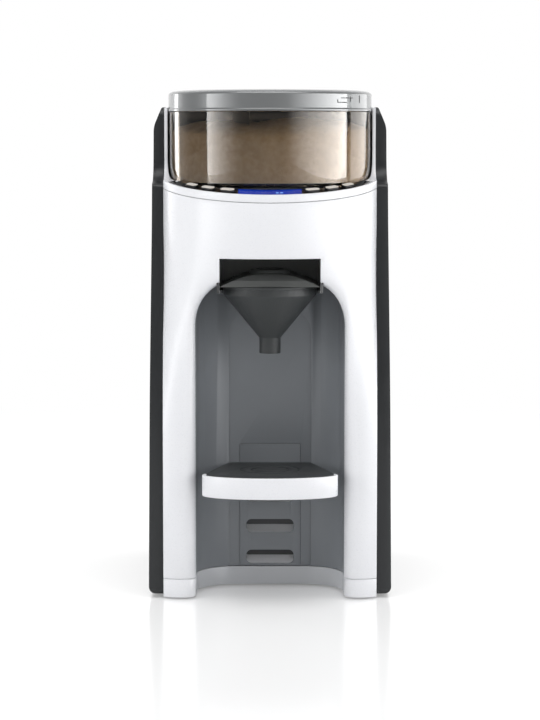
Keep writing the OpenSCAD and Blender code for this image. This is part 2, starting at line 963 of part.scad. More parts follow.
// Involute gear outline, backed off by lash at the pitch circle
function involute(rb, r) =
  let (t = sqrt(max(0, pow(r / rb, 2) - 1))) t * 180 / PI - atan(t);
function tooth_half(teeth, r, lash) =
  let (
    rp = gear_m * teeth / 2,
    rb = rp * cos(20)
  )
  90 / teeth - lash / rp * 90 / PI + involute(rb, rp) - involute(rb, max(rb, r));
function gear_outline(teeth, lash = 0.16) =
  let (
    rp = gear_m * teeth / 2,
    rb = rp * cos(20),
    tip = rp + 0.85 * gear_m,
    root = rp - 1.2 * gear_m,
    low = max(rb, root),
    radii = [root, low, low + (tip - low) / 3, low + (tip - low) * 2 / 3, tip]
  )
  [
    for (i = [0:teeth - 1])
      let (a = 360 * i / teeth)
      each [
        for (r = radii) let (b = a - tooth_half(teeth, r, lash)) r * [cos(b), sin(b)],
        for (k = [len(radii) - 1:-1:0])
          let (b = a + tooth_half(teeth, radii[k], lash)) radii[k] * [cos(b), sin(b)]
      ]
  ];

module motor_pinion() {
  color("gold")
    translate([0, pinion_y, 0]) {
      translate([0, 0, gear_z])
        linear_extrude(height = gear_h)
          rotate(-90)
            polygon(gear_outline(pinion_teeth));
      translate([0, 0, bracket_z - 7.5])
        cylinder(r = motor_shaft_r, h = gear_z - bracket_z + 8);
    }
}

module drive_gear() {
  color("ivory")
    translate([0, drive_y, 0]) {
      difference() {
        translate([0, 0, gear_z])
          linear_extrude(height = gear_h)
            rotate(90 + 180 / gear_teeth)
              polygon(gear_outline(gear_teeth));
        for (a = [0:60:300])
          rotate(a)
            translate([gear_pitch_r * 0.6, 0, gear_z - 1])
              cylinder(r = gear_pitch_r * 0.17, h = gear_h + 2);
      }
      translate([0, 0, bracket_z + 0.2])
        cylinder(r = shaft_r, h = deck_z + 0.5 - bracket_z - 0.2);
      translate([0, 0, bracket_z + bracket_t + 0.2])
        cylinder(r = shaft_r + 4, h = gear_z - bracket_z - bracket_t);
    }
}

module drive_coupling() {
  color("dimgray")
    translate([0, drive_y, deck_z + 0.5]) {
      cylinder(r = coupling_r + 3, h = container_z - deck_z - 4);
      cylinder(r = coupling_r, h = container_z - deck_z + 7, $fn = 6);
    }
}

// ---------- water system ----------

heater_x = -28;
heater_y = 12;
heater_r = 21;
heater_top_z = 128;
pump_y = 8;
pump_r = 17;
link_z = 40;
hose_r = 4;
hose_run_z = 268;
hose_bend_r = 8;
nozzle_x = heater_x;
nozzle_y = -70;
nozzle_r = 4.5;

module heater() {
  color("silver")
    translate([heater_x, heater_y, 0]) {
      translate([0, 0, plate_top_z])
        cylinder(r = heater_r + 4, h = 3);
      translate([0, 0, plate_top_z])
        cylinder(r = heater_r, h = heater_top_z - 8 - plate_top_z);
      translate([0, 0, heater_top_z - 8])
        cylinder(r1 = heater_r, r2 = 12, h = 4);
      translate([0, 0, heater_top_z - 5])
        cylinder(r = 12, h = 3);
      for (z = [30:22:96])
        translate([0, 0, z])
          cylinder(r = heater_r + 1, h = 5);
    }
}

module pump() {
  color("dimgray")
    translate([outlet_x, pump_y, plate_top_z]) {
      cylinder(r = pump_r + 3, h = 4);
      cylinder(r = pump_r, h = 46);
      translate([0, 0, 46])
        cylinder(r = pump_r - 4, h = 12);
    }
}

pump_top_z = plate_top_z + 58;

module inlet_valve() {
  color("navy")
    translate([outlet_x, pump_y, pump_top_z]) {
      cylinder(r = 11, h = 16);
      translate([0, 0, 15])
        cylinder(r = 5, h = 8);
      translate([-8, -8, 4])
        cube([16, 22, 9]);
    }
}

module link_hose() {
  x0 = heater_x + heater_r + 0.1;
  color("lightgray")
    translate([x0, pump_y, link_z])
      rotate([0, 90, 0])
        cylinder(r = hose_r, h = outlet_x - pump_r - 0.1 - x0);
}

module cold_hose() {
  drop_z = shelf_z - cup_h;
  run_z = link_z - 8;
  color("lightgray") {
    translate([outlet_x, outlet_y, run_z + hose_bend_r])
      cylinder(r = hose_r, h = drop_z - run_z - hose_bend_r);
    translate([outlet_x, outlet_y - hose_bend_r, run_z])
      rotate([180, 0, 0])
        mirror([0, 1, 0])
          elbow(hose_r, hose_bend_r);
    translate([outlet_x, outlet_y - hose_bend_r, run_z])
      rotate([90, 0, 0])
        cylinder(r = hose_r, h = outlet_y - hose_bend_r - pump_y - pump_r - 0.1);
  }
}

module hot_hose() {
  color("lightgray")
    translate([nozzle_x, 0, 0]) {
      translate([0, heater_y, heater_top_z - 2])
        cylinder(r = hose_r, h = hose_run_z - hose_bend_r - heater_top_z + 2);
      translate([0, heater_y - hose_bend_r, hose_run_z])
        elbow(hose_r, hose_bend_r);
      translate([0, heater_y - hose_bend_r, hose_run_z])
        rotate([90, 0, 0])
          cylinder(r = hose_r, h = heater_y - hose_bend_r - nozzle_y - nozzle_r - 2.1);
    }
}

module water_nozzle() {
  color("silver")
    translate([nozzle_x, nozzle_y, 0]) {
      translate([0, 0, dock_top_z - 3])
        cylinder(r = nozzle_r, h = 3 + dock_wall);
      translate([0, 0, dock_top_z + dock_wall])
        cylinder(r = nozzle_r + 2, h = hose_run_z + hose_r + 1 - dock_top_z - dock_wall);
    }
}

module temperature_sensor() {
  color("gold")
    translate([heater_x - 8, heater_y, heater_top_z - 2]) {
      cylinder(r = 3, h = 4, $fn = 6);
      cylinder(r = 1.8, h = 12);
    }
}

module bottle_sensor() {
  color("darkgreen")
    box([-9, bay_back_y + liner_t + 0.1, 140], [9, bay_back_y + liner_t + 8, 160]);
}

// ---------- electronics ----------

board_x = chassis_x - 5;
board_z = [80, 200];
relay_w = 18;
relay_h = 15;
capacitor_r = 8;
capacitor_h = 24;

module main_board() {
  color("green") {
    box([board_x - 1.6, chassis_y0 + 6, board_z[0]], [board_x, chassis_y1 - 6, board_z[1]]);
    for (y = [chassis_y0 + 10, chassis_y1 - 10], z = [board_z[0] + 4, board_z[1] - 4])
      translate([board_x - 0.1, y, z])
        rotate([0, 90, 0])
          cylinder(r = 2.5, h = chassis_x - board_x + 0.1);
    for (z = [board_z[0] + 16, board_z[0] + 40])
      box([board_x - relay_h - 1, 10, z], [board_x - 1.5, 10 + relay_w, z + relay_h]);
    translate([board_x - 1.5, 2, board_z[1] - 40])
      rotate([0, -90, 0])
        cylinder(r = capacitor_r, h = capacitor_h);
    box([board_x - 4.5, 12, board_z[1] - 50], [board_x - 1.5, 12 + relay_w, board_z[1] - 32]);
  }
}

power_x = [-58, -8];
power_y = [66, 112];
power_h = 36.5;
fin_h = 8;
fin_t = 2;
fin_pitch = 6;

module power_module() {
  top = plate_top_z + power_h;
  color("darkslategray") {
    box([power_x[0], power_y[0], plate_top_z], [power_x[1], power_y[1], top]);
    for (y = [power_y[0] + 4:fin_pitch:power_y[1] - 4])
      box([power_x[0] + 2, y, top - 0.5], [power_x[1] - 2, y + fin_t, top + fin_h]);
  }
}

module power_inlet() {
  color("black")
    translate([inlet_x, back_y, inlet_z])
      difference() {
        union() {
          translate([-inlet_w / 2 - 3, 0, -inlet_h / 2 - 3])
            cube([inlet_w + 6, 2, inlet_h + 6]);
          translate([-inlet_w / 2 + 0.2, -20, -inlet_h / 2 + 0.2])
            cube([inlet_w - 0.4, 20.5, inlet_h - 0.4]);
        }
        difference() {
          front_prism(-16, 10)
            polygon([
              [-12.2, -8.3],
              [12.2, -8.3],
              [12.2, 4.3],
              [8.2, 8.3],
              [-8.2, 8.3],
              [-12.2, 4.3]
            ]);
          for (p = [[-7, -2], [7, -2], [0, 2]])
            translate([p.x - 1, -20, p.y - 2])
              cube([2, 19, 4]);
        }
      }
}

// ---------- collar, control strip and buttons ----------

// The sloping frame of the ledge: its plane z = 0 is the collar's underside
pocket_floor = 1.2;
board_t = 0.8;
strip_under = 3.9;
strip_top = collar_h - 0.5;
strip_r = hood_r - rim_w - 0.2;
strip_end_y = -66;

module in_ledge() {
  translate([0, hood_y, ledge_frame_z])
    rotate([ledge_tilt, 0, 0])
      children();
}

module ledge_slab(z0, z1) {
  in_ledge()
    translate([0, 0, (z0 + z1) / 2])
      cube([400, 400, z1 - z0], center = true);
}

module hood_disc(r) {
  translate([0, hood_y, 250])
    cylinder(r = r, h = 150);
}

module well(r) {
  translate([0, container_y, 200])
    cylinder(r = r, h = tall);
}

// The cone that the control strip's surface follows, raised by h
module strip_cone_form(h) {
  in_ledge()
    rotate_extrude()
      polygon([
        [0, -20],
        [hood_r + 5, -20],
        [hood_r + 5, strip_top + h - (hood_r + 5 - strip_r) * tan(strip_cone)],
        [20, strip_top + h + (strip_r - 20) * tan(strip_cone)],
        [0, strip_top + h + (strip_r - 20) * tan(strip_cone)]
      ]);
}

ear_top_z = panel_top_z - 0.4;
ear_back_y = 5;

module upper_collar() {
  color("white")
    difference() {
      intersection() {
        ledge_slab(seam_gap, 200);
        box([-half_w, -200, 250], [half_w, ear_back_y, ear_top_z]);
        union() {
          hood_disc(hood_r);
          box([-half_w, hood_y, 250], [half_w, ear_back_y, 400]);
        }
      }
      well(well_r);
      intersection() {
        hood_disc(hood_r - rim_w);
        ledge_slab(pocket_floor + seam_gap, 200);
        box([-half_w + rim_w, -200, 250], [half_w - rim_w, strip_end_y - 1.6, 400]);
      }
      side_prism(-200, 200)
        polygon(rounded([
          [-200, collar_top_z(-200), 0],
          [ear_front_y, collar_top_z(ear_front_y), sweep_r],
          [ear_front_y, tall, 0],
          [-200, tall, 0]
        ]));
      box([-200, rear_join_y - 0.2, 200], [200, 200, rear_top_z + 0.2]);
    }
}

module strip_blank(g) {
  difference() {
    intersection() {
      hood_disc(strip_r - g);
      strip_cone_form(0);
      ledge_slab(strip_under, 40);
      box(
        [-half_w + rim_w + 0.2 + g, -200, 250],
        [half_w - rim_w - 0.2 - g, strip_end_y - 1.8 - g, 400]
      );
    }
    well(well_r + g);
  }
}

module button_places(i) {
  side = i < 3 ? -1 : 1;
  angle = button_angles[i < 3 ? 2 - i : i - 3];
  in_ledge()
    rotate([0, 0, side * angle])
      translate([0, -button_ring_r, 0])
        children();
}

module lcd_window(g) {
  intersection() {
    difference() {
      hood_disc(strip_r - 0.8 + g);
      translate([0, container_y, 200])
        cylinder(r = well_r + 0.9 - g, h = 300);
    }
    box([-lcd_half_w - g, -200, 250], [lcd_half_w + g, -60, 400]);
  }
}

module control_strip() {
  color("#0c0d0f")
    difference() {
      strip_blank(0);
      lcd_window(0.1);
      for (i = [0:5])
        button_places(i)
          linear_extrude(height = 50)
            pill(button_w + 2 * gap, button_d + 2 * gap);
    }
}

module lcd_screen() {
  color("#2040c0")
    intersection() {
      strip_blank(0);
      lcd_window(0);
    }
}

module button(i) {
  color("silver")
    intersection() {
      button_places(i)
        translate([0, 0, pocket_floor + seam_gap + board_t + button_travel + 0.1])
          linear_extrude(height = 50)
            pill(button_w, button_d);
      strip_cone_form(button_proud);
    }
}

module power_button() {
  button(0);
}

module temperature_button() {
  button(1);
}

module volume_button() {
  button(2);
}

module minus_button() {
  button(3);
}

module plus_button() {
  button(4);
}

module start_button() {
  button(5);
}

module display_board() {
  z0 = pocket_floor + seam_gap;
  color("green")
    difference() {
      intersection() {
        hood_disc(strip_r - 0.6);
        ledge_slab(z0, z0 + board_t);
        box([-66, -200, 250], [66, -80, 400]);
      }
      well(well_r + 0.4);
    }
}

// ---------- powder container ----------

inner_r = container_r - container_wall;
hub_r = 11.6;
wheel_z = container_z + container_floor + gap;
wheel_t = 8;
hub_top_z = wheel_z + wheel_t + 6;
neck_r = container_r - 2;
neck_top_z = lid_z + lid_band_h - 3;
lid_r = container_r + lid_proud;
lid_inner_z = lid_z + lid_band_h + 0.6;

module container_shell() {
  color("#8c8780", 0.5)
    translate([0, container_y, 0])
      difference() {
        translate([0, 0, container_z])
          rotate_extrude()
            polygon(rounded([
              [0, 0, 0],
              [container_r, 0, 3],
              [container_r, lid_z - gap - container_z, 0],
              [neck_r, lid_z - gap - container_z, 0],
              [neck_r, neck_top_z - container_z, 0.6],
              [0, neck_top_z - container_z, 0]
            ], 4));
        translate([0, 0, container_z + container_floor])
          cylinder(r = inner_r - 2, h = tall);
        translate([0, 0, container_z + container_floor])
          cylinder(r = inner_r, h = lid_z - 4 - container_z - container_floor);
        translate([0, 0, container_z - 1])
          cylinder(r = hub_r + gap, h = 20);
        translate([0, -drop_r, container_z - 1])
          cylinder(r = pocket_r + 1, h = 20);
      }
}

module container_gasket() {
  color("white")
    translate([0, container_y, 0])
      tube(hub_r + gap + 5, hub_r + gap + 0.6, container_z - 1.5, container_z);
}

module mixing_wheel() {
  color("ivory")
    translate([0, container_y, 0])
      difference() {
        union() {
          translate([0, 0, wheel_z])
            cylinder(r = inner_r - 2 - gap, h = wheel_t);
          translate([0, 0, container_z + 0.5])
            cylinder(r = hub_r, h = hub_top_z - container_z - 0.5);
        }
        for (k = [0:pocket_count - 1])
          rotate(-90 + 360 * k / pocket_count)
            translate([drop_r, 0, wheel_z - 1])
              cylinder(r = pocket_r, h = wheel_t + 2);
        translate([0, 0, container_z - 1])
          cylinder(r = coupling_r + gap, h = 9.5, $fn = 6);
      }
}

paddle_x = -22;
paddle_y = -24;
paddle_w = 13;
paddle_t = 3;
paddle_top_z = lid_z - 0.6;

module stirrer_form(g) {
  translate([0, container_y, 0]) {
    translate([0, 0, hub_top_z - g])
      cylinder(r = hub_r + 1.4 + g, h = 5 + 2 * g);
    for (a = [0, 180])
      rotate(a + atan2(paddle_y, paddle_x))
        translate([0, -2.5 - g, hub_top_z - g])
          cube([norm([paddle_x, paddle_y]) + 2 + g, 5 + 2 * g, 4 + 2 * g]);
    translate([paddle_x - paddle_w / 2 - g, paddle_y - paddle_t / 2 - g, wheel_z + wheel_t + gap - g])
      cube([paddle_w + 2 * g, paddle_t + 2 * g, paddle_top_z - wheel_z - wheel_t + g]);
    translate([-paddle_x - paddle_w / 2 - g, -paddle_y - paddle_t / 2 - g, wheel_z + wheel_t + gap - g])
      cube([paddle_w + 2 * g, paddle_t + 2 * g, 22 + g]);
  }
}

module stirrer() {
  color("lightgray")
    stirrer_form(0);
}

module formula_powder() {
  color("#b8a68c")
    difference() {
      translate([0, container_y, wheel_z + wheel_t])
        rotate_extrude()
          polygon([
            [0, 0],
            [inner_r - gap, 0],
            [inner_r - gap, powder_z - wheel_z - wheel_t],
            [inner_r * 0.92, powder_z + mound_h * 0.45 - wheel_z - wheel_t],
            [inner_r * 0.75, powder_z + mound_h * 0.85 - wheel_z - wheel_t],
            [inner_r * 0.5, powder_z + mound_h - wheel_z - wheel_t],
            [0, powder_z + mound_h * 0.95 - wheel_z - wheel_t]
          ]);
      stirrer_form(0.3);
      translate([0, container_y, wheel_z])
        cylinder(r = hub_r + 0.3, h = hub_top_z - wheel_z + 0.1);
    }
}

module lid() {
  color("silver")
    translate([0, container_y, 0])
      difference() {
        translate([0, 0, lid_z])
          rotate_extrude()
            polygon(rounded([
              [0, 0, 0],
              [lid_r, 0, 0.8],
              [lid_r, lid_band_h, 1.2],
              [lid_r - 6, lid_band_h + lid_t * 0.8, 4],
              [lid_r - 30, lid_band_h + lid_t, 60],
              [0, lid_band_h + lid_t, 0]
            ], 5));
        translate([0, 0, lid_z - 1])
          cylinder(r = neck_r + gap, h = lid_inner_z - lid_z + 1);
      }
}

module lid_gasket() {
  color("whitesmoke")
    translate([0, container_y, 0])
      tube(neck_r - 0.2, neck_r - 2.2, neck_top_z + gap, lid_inner_z - gap);
}

// ---------- funnel and its cover ----------

flange_top_z = flange_z + flange_t;
cover_z = flange_top_z + gap;

module funnel() {
  color("#3b3d3b", 0.8)
    difference() {
      union() {
        translate([0, funnel_y, 0])
          rotate_extrude()
            polygon([
              [0, spout_z],
              [spout_r, spout_z],
              [spout_r, cone_end_z],
              [funnel_r, cone_z],
              [funnel_r, flange_z + 0.5],
              [0, flange_z + 0.5]
            ]);
        box(
          [-flange_half_w, funnel_y, flange_z],
          [flange_half_w, dock_back_y - gap, flange_top_z]
        );
        translate([0, funnel_y, flange_z])
          cylinder(r = flange_half_w, h = flange_t);
      }
      translate([0, funnel_y, 0])
        rotate_extrude()
          polygon([
            [0, spout_z - 1],
            [spout_r - funnel_wall, spout_z - 1],
            [spout_r - funnel_wall, cone_end_z + 1],
            [funnel_r - funnel_wall, cone_z + 1],
            [funnel_r - funnel_wall, flange_top_z + 1],
            [0, flange_top_z + 1]
          ]);
    }
}

// The vault's arc in front view, from its half width and rise
module vault_view(half, rise, base) {
  r = (half * half + rise * rise) / (2 * rise);
  intersection() {
    translate([0, base + rise - r])
      circle(r = r);
    translate([-half, base])
      square([2 * half, rise]);
  }
}

module cover_dome(g) {
  translate([0, funnel_y, cover_z])
    rotate_extrude()
      polygon([
        [0, -g],
        [dome_r - g, -g],
        [dome_r - g, cover_rise * 0.75],
        [dome_r * 0.86 - g, dome_rise * 0.88 - g],
        [dome_r * 0.5 - g / 2, dome_rise - g],
        [0, dome_rise - g]
      ]);
}

cover_front_y = funnel_y - flange_half_w + 2;
cover_slope = 10;

module funnel_cover() {
  color("#4e4e4e", 0.8)
    difference() {
      union() {
        intersection() {
          front_prism(cover_front_y, dock_back_y - gap)
            vault_view(flange_half_w, cover_rise, cover_z);
          side_prism(-100, 100)
            polygon([
              [cover_front_y - 1, cover_z - 1],
              [dock_back_y, cover_z - 1],
              [dock_back_y, cover_z + cover_rise + 1],
              [cover_front_y + cover_slope, cover_z + cover_rise + 1],
              [cover_front_y, cover_z + cover_front_h],
              [cover_front_y - 1, cover_z + cover_front_h]
            ]);
        }
        cover_dome(0);
      }
      front_prism(cover_front_y + cover_slope, dock_back_y - gap - funnel_wall)
        vault_view(flange_half_w - 2.5, cover_rise - funnel_wall, cover_z - 0.01);
      cover_dome(funnel_wall);
      translate([0, funnel_y, cover_z + 4])
        cylinder(r = chute_r - 2, h = 40);
      translate([nozzle_x, nozzle_y, cover_z + 1])
        cylinder(r = nozzle_r + 0.5, h = 40);
    }
}

// ---------- tray ----------

tray_back_y = slot_face_y - gap;
function tray_plan(g) = concat(
  [[tray_back_half_w - g, tray_back_y - g]],
  [
    for (a = [0:7.5:180])
      [(tray_half_w - g) * cos(a), tray_wide_y - (tray_nose - g) * sin(a)]
  ],
  [[-tray_back_half_w + g, tray_back_y - g]]
);

mat_t = 2.2;
tray_top_z = tray_z + tray_h;

// The band's place in plan, grown by g
module band_plan(g) {
  difference() {
    polygon(tray_plan(0));
    polygon(tray_plan(tray_rim + g));
    translate([-tray_half_w, band_end_y + g])
      square([2 * tray_half_w, 2 * tray_half_w]);
  }
}

module tray_frame() {
  color("white")
    translate([0, 0, tray_z])
      linear_extrude(height = tray_h)
        band_plan(0);
}

module tray_mat() {
  color("#4a4d4e")
    difference() {
      translate([0, 0, tray_z])
        linear_extrude(height = tray_h - mat_drop)
          difference() {
            polygon(tray_plan(0));
            band_plan(0.1);
          }
      translate([0, 0, tray_z - 1])
        linear_extrude(height = tray_h - mat_drop - mat_t + 1)
          polygon(tray_plan(tray_rim + 0.1 + wall));
      for (r = [14, 22])
        translate([0, funnel_y, 0])
          tube(r + 0.8, r, tray_top_z - mat_drop - 0.6, tray_top_z);
    }
}

hook_t = 3;
hook_z = slot_z + slot_pitch * (slot_count - 1) + slot_h / 2 - gap - hook_t;

module tray_hook() {
  half = slot_w / 2 - slot_h / 2;
  color("#4a4d4e") {
    box([-half, tray_back_y - hook_t, hook_z], [half, tray_back_y, tray_z]);
    box([-half, tray_back_y - 20, tray_z - hook_t], [half, tray_back_y, tray_z]);
    box(
      [-half, tray_back_y - 14, tray_z - hook_t],
      [half, tray_back_y - 6, tray_top_z - mat_drop - mat_t]
    );
    box(
      [-half, tray_back_y - hook_t, hook_z],
      [half, slot_face_y + slot_d - gap, hook_z + hook_t]
    );
  }
}

// ---------- water tank ----------

module tank_plan(t) {
  polygon(rounded([
    [-tank_half_w + t, tank_front_y + t, 8 - t],
    [tank_half_w - t, tank_front_y + t, 8 - t],
    [tank_half_w - t, tank_back_y - t, 20 - t],
    [-tank_half_w + t, tank_back_y - t, 20 - t]
  ]));
}

seat_z = tank_z - gap;
hinge_y = tank_back_y - 3.6;
hinge_r = 3.2;
hinge_z = tank_top_z + hinge_r + gap;
pin_r = 1.5;
knuckle_w = 12;
lid_knuckle_w = 2 * knuckle_w - 0.6;
float_x = -40;
float_y = 104;
float_travel = 20;
float_h = 12;
rod_r = 2;
tank_floor_z = tank_z + tank_wall;

module tank_seat() {
  color("#2e3133")
    difference() {
      union() {
        translate([0, 0, shelf_z])
          linear_extrude(height = seat_z - shelf_z)
            polygon(rounded([
              [-tank_half_w + 8, tank_front_y + 8, 6],
              [tank_half_w - 8, tank_front_y + 8, 6],
              [tank_half_w - 8, back_y - 8, 14],
              [-tank_half_w + 8, back_y - 8, 14]
            ]));
        translate([outlet_x, outlet_y, shelf_z - cup_h])
          cylinder(r = cup_r, h = cup_h + 1);
      }
      translate([outlet_x, outlet_y, shelf_z - cup_h + 4])
        cylinder(r = spigot_r + 2, h = 30);
      translate([outlet_x, outlet_y, shelf_z - cup_h - 1])
        cylinder(r = 2.5, h = 10);
      for (x = [-50:20:10])
        translate([x, outlet_y, shelf_z + 1])
          linear_extrude(height = 20)
            pill(8, 3);
    }
}

module tank_seal() {
  color("black")
    translate([outlet_x, outlet_y, 0])
      tube(spigot_r + 1.9, spigot_r + gap, shelf_z - 2.2, seat_z - 1.2);
}

module tank_body() {
  color("#55606a", 0.5)
    difference() {
      union() {
        difference() {
          union() {
            translate([0, 0, tank_z])
              linear_extrude(height = tank_top_z - tank_z)
                tank_plan(0);
            for (s = [-1, 1])
              translate([s * (knuckle_w * 1.5 + 0.3), hinge_y, 0]) {
                translate([0, 0, hinge_z])
                  rotate([0, 90, 0])
                    cylinder(r = hinge_r, h = knuckle_w, center = true);
                translate([-knuckle_w / 2, -hinge_r, tank_top_z - 6])
                  cube([knuckle_w, 2 * hinge_r, hinge_z - tank_top_z + 6]);
              }
          }
          translate([0, 0, tank_floor_z])
            linear_extrude(height = tank_top_z - tank_floor_z + 0.01)
              tank_plan(tank_wall);
        }
        translate([outlet_x, outlet_y, tank_z - spigot_h])
          cylinder(r = spigot_r, h = spigot_h + 1);
        translate([float_x, float_y, tank_z + 1])
          cylinder(r = rod_r, h = float_travel + float_h + 6);
        translate([float_x, float_y, tank_floor_z + gap + float_travel + float_h + 1])
          cylinder(r = rod_r + 2, h = 3);
      }
      translate([outlet_x, outlet_y, tank_z - spigot_h - 1])
        cylinder(r = spigot_r - 3, h = 30);
      for (s = [-1, 1])
        translate([s * (knuckle_w * 1.5 + 0.3), hinge_y, hinge_z])
          rotate([0, 90, 0])
            cylinder(r = pin_r + running_gap, h = knuckle_w + 2, center = true);
    }
}

module tank_lid() {
  z0 = tank_top_z + gap;
  color("#2e3133")
    difference() {
      union() {
        difference() {
          translate([0, 0, z0])
            linear_extrude(height = tank_lid_t)
              polygon(rounded([
                [-tank_half_w, tank_front_y, 8],
                [tank_half_w, tank_front_y, 8],
                [tank_half_w, hinge_y - 4, 10],
                [-tank_half_w, hinge_y - 4, 10]
              ]));
          translate([0, (tank_front_y + hinge_y) / 2, z0 + tank_lid_t - 2])
            linear_extrude(height = 10)
              pill(90, 40);
        }
        translate([0, hinge_y, hinge_z])
          rotate([0, 90, 0])
            cylinder(r = hinge_r - 0.3, h = lid_knuckle_w, center = true);
        box(
          [-lid_knuckle_w / 2, hinge_y - 5, hinge_z - 2],
          [lid_knuckle_w / 2, hinge_y, hinge_z + 2]
        );
      }
      translate([0, hinge_y, hinge_z])
        rotate([0, 90, 0])
          cylinder(r = pin_r + running_gap, h = 60, center = true);
    }
}

module tank_hinge_pin() {
  color("silver")
    translate([0, hinge_y, hinge_z])
      rotate([0, 90, 0])
        cylinder(r = pin_r, h = 4 * knuckle_w, center = true);
}

module tank_float() {
  color("orange")
    translate([float_x, float_y, 0])
      tube(8, rod_r + gap, tank_floor_z + gap, tank_floor_z + gap + float_h);
}

module tank_valve() {
  color("white")
    translate([outlet_x, outlet_y, 0]) {
      translate([0, 0, tank_floor_z + 0.2])
        cylinder(r = spigot_r - 1, h = 2);
      translate([0, 0, tank_z - spigot_h + 1])
        cylinder(r = spigot_r - 3 - gap, h = spigot_h + tank_wall);
    }
}

base_frame();
base_trim();
bottom_plate();
rubber_feet();
bottom_screws();
front_shell();
upper_collar();
left_side_panel();
right_side_panel();
rear_shell();
bay_liner();
slot_panel();
funnel_dock();
chassis();
motor_bracket();
gearmotor();
motor_pinion();
drive_gear();
drive_coupling();
heater();
pump();
inlet_valve();
cold_hose();
link_hose();
hot_hose();
water_nozzle();
temperature_sensor();
bottle_sensor();
main_board();
power_module();
power_inlet();
display_board();
control_strip();
lcd_screen();
power_button();
temperature_button();
volume_button();
minus_button();
plus_button();
start_button();
container_shell();
container_gasket();
mixing_wheel();
stirrer();
formula_powder();
lid();
lid_gasket();
funnel();
funnel_cover();
tray_frame();
tray_mat();
tray_hook();
tank_seat();
tank_seal();
tank_body();
tank_lid();
tank_hinge_pin();
tank_float();
tank_valve();
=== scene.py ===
import bpy
import bmesh
import json
import math
from mathutils import Matrix, Vector, noise


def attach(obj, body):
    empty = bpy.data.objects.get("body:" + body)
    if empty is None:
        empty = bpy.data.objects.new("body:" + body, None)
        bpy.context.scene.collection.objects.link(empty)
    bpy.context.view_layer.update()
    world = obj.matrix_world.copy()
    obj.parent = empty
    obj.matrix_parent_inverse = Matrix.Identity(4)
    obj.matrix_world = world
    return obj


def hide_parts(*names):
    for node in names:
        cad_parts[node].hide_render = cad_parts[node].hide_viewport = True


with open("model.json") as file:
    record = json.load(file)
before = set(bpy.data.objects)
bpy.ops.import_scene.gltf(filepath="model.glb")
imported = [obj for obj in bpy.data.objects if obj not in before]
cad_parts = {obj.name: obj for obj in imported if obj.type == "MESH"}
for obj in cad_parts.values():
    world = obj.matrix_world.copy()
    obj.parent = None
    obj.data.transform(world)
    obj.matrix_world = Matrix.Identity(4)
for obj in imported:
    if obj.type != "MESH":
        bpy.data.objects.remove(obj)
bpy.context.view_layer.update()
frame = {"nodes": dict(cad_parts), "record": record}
nodes = frame["nodes"]
slotOf = {s["node"]: s["material_slot"] for s in frame["record"]["subparts"]}
bodyOf = {n: b for b, names in frame["record"]["behaviour"]["bodies"].items() for n in names}
mm = 0.001

# Camera: portrait frame, a long lens a little above the machine's middle
cameraSetup = {"place": (0, -1.891, 0.353), "pitch": 5.4, "lens": 119.7}
cameraData = bpy.data.cameras.new("studioCamera")
cameraData.lens = cameraSetup["lens"]
camera = bpy.data.objects.new("studioCamera", cameraData)
bpy.context.scene.collection.objects.link(camera)
camera.location = cameraSetup["place"]
camera.rotation_euler = (math.radians(90 - cameraSetup["pitch"]), 0, 0)
bpy.context.scene.camera = camera
bpy.context.scene.view_settings.view_transform = "Standard"
print("camera set")


def toLinear(hexColour):
    parts = [int(hexColour[i:i + 2], 16) / 255 for i in (1, 3, 5)]
    return (*[c / 12.92 if c <= 0.04045 else ((c + 0.055) / 1.055) ** 2.4 for c in parts], 1.0)


def addNode(tree, kind, settings=None, values=None, links=None):
    node = tree.nodes.new("ShaderNode" + kind)
    for key, value in (settings or {}).items():
        setattr(node, key, value)
    for key, value in (values or {}).items():
        node.inputs[key].default_value = value
    for key, source in (links or {}).items():
        tree.links.new(source, node.inputs[key])
    return node


def newMaterial(name):
    material = bpy.data.materials.new(name)
    material.use_nodes = True
    tree = material.node_tree
    tree.nodes.clear()
    return material, tree


# What a finish has where its own look says nothing else
usualLook = {"driftMm": 62.5, "bumpMm": 0.05, "stretch": (1, 1, 1), "ior": 1.5, "metal": 0.0,
             "coat": 0.0, "coatRough": 0.04, "soft": 0.0, "softReachMm": (4, 3, 2)}


# A surface of one colour with a slow drift, a fine grain in its gloss and a fine bump
def solidFinish(name, ownLook):
    look = {**usualLook, **ownLook}
    material, tree = newMaterial(name)
    place = addNode(tree, "TexCoord").outputs["Object"]
    stretch = addNode(tree, "Mapping", values={"Scale": look["stretch"]}, links={"Vector": place}).outputs[0]
    drift = addNode(tree, "TexNoise", values={"Scale": 1 / (look["driftMm"] * mm), "Detail": 2.0},
                    links={"Vector": stretch})
    tint = addNode(tree, "Mix", {"data_type": "RGBA"},
                   {6: toLinear(look["colour"]), 7: toLinear(look["drift"])}, {0: drift.outputs["Fac"]})
    grain = addNode(tree, "TexNoise", values={"Scale": 1 / (look["grainMm"] * mm), "Detail": 3.0},
                    links={"Vector": stretch})
    gloss = addNode(tree, "MapRange", values={"To Min": look["rough"] - look["roughDrift"],
                                              "To Max": look["rough"] + look["roughDrift"]},
                    links={"Value": grain.outputs["Fac"]})
    bump = addNode(tree, "Bump", values={"Strength": look["bump"], "Distance": look["bumpMm"] * mm},
                   links={"Height": grain.outputs["Fac"]})
    shader = addNode(tree, "BsdfPrincipled", values={
        "IOR": look["ior"], "Metallic": look["metal"], "Coat Weight": look["coat"],
        "Coat Roughness": look["coatRough"], "Subsurface Weight": look["soft"],
        "Subsurface Radius": [reach * mm for reach in look["softReachMm"]],
    }, links={"Base Color": tint.outputs[2], "Roughness": gloss.outputs[0], "Normal": bump.outputs[0]})
    addNode(tree, "OutputMaterial", links={"Surface": shader.outputs[0]})
    return material


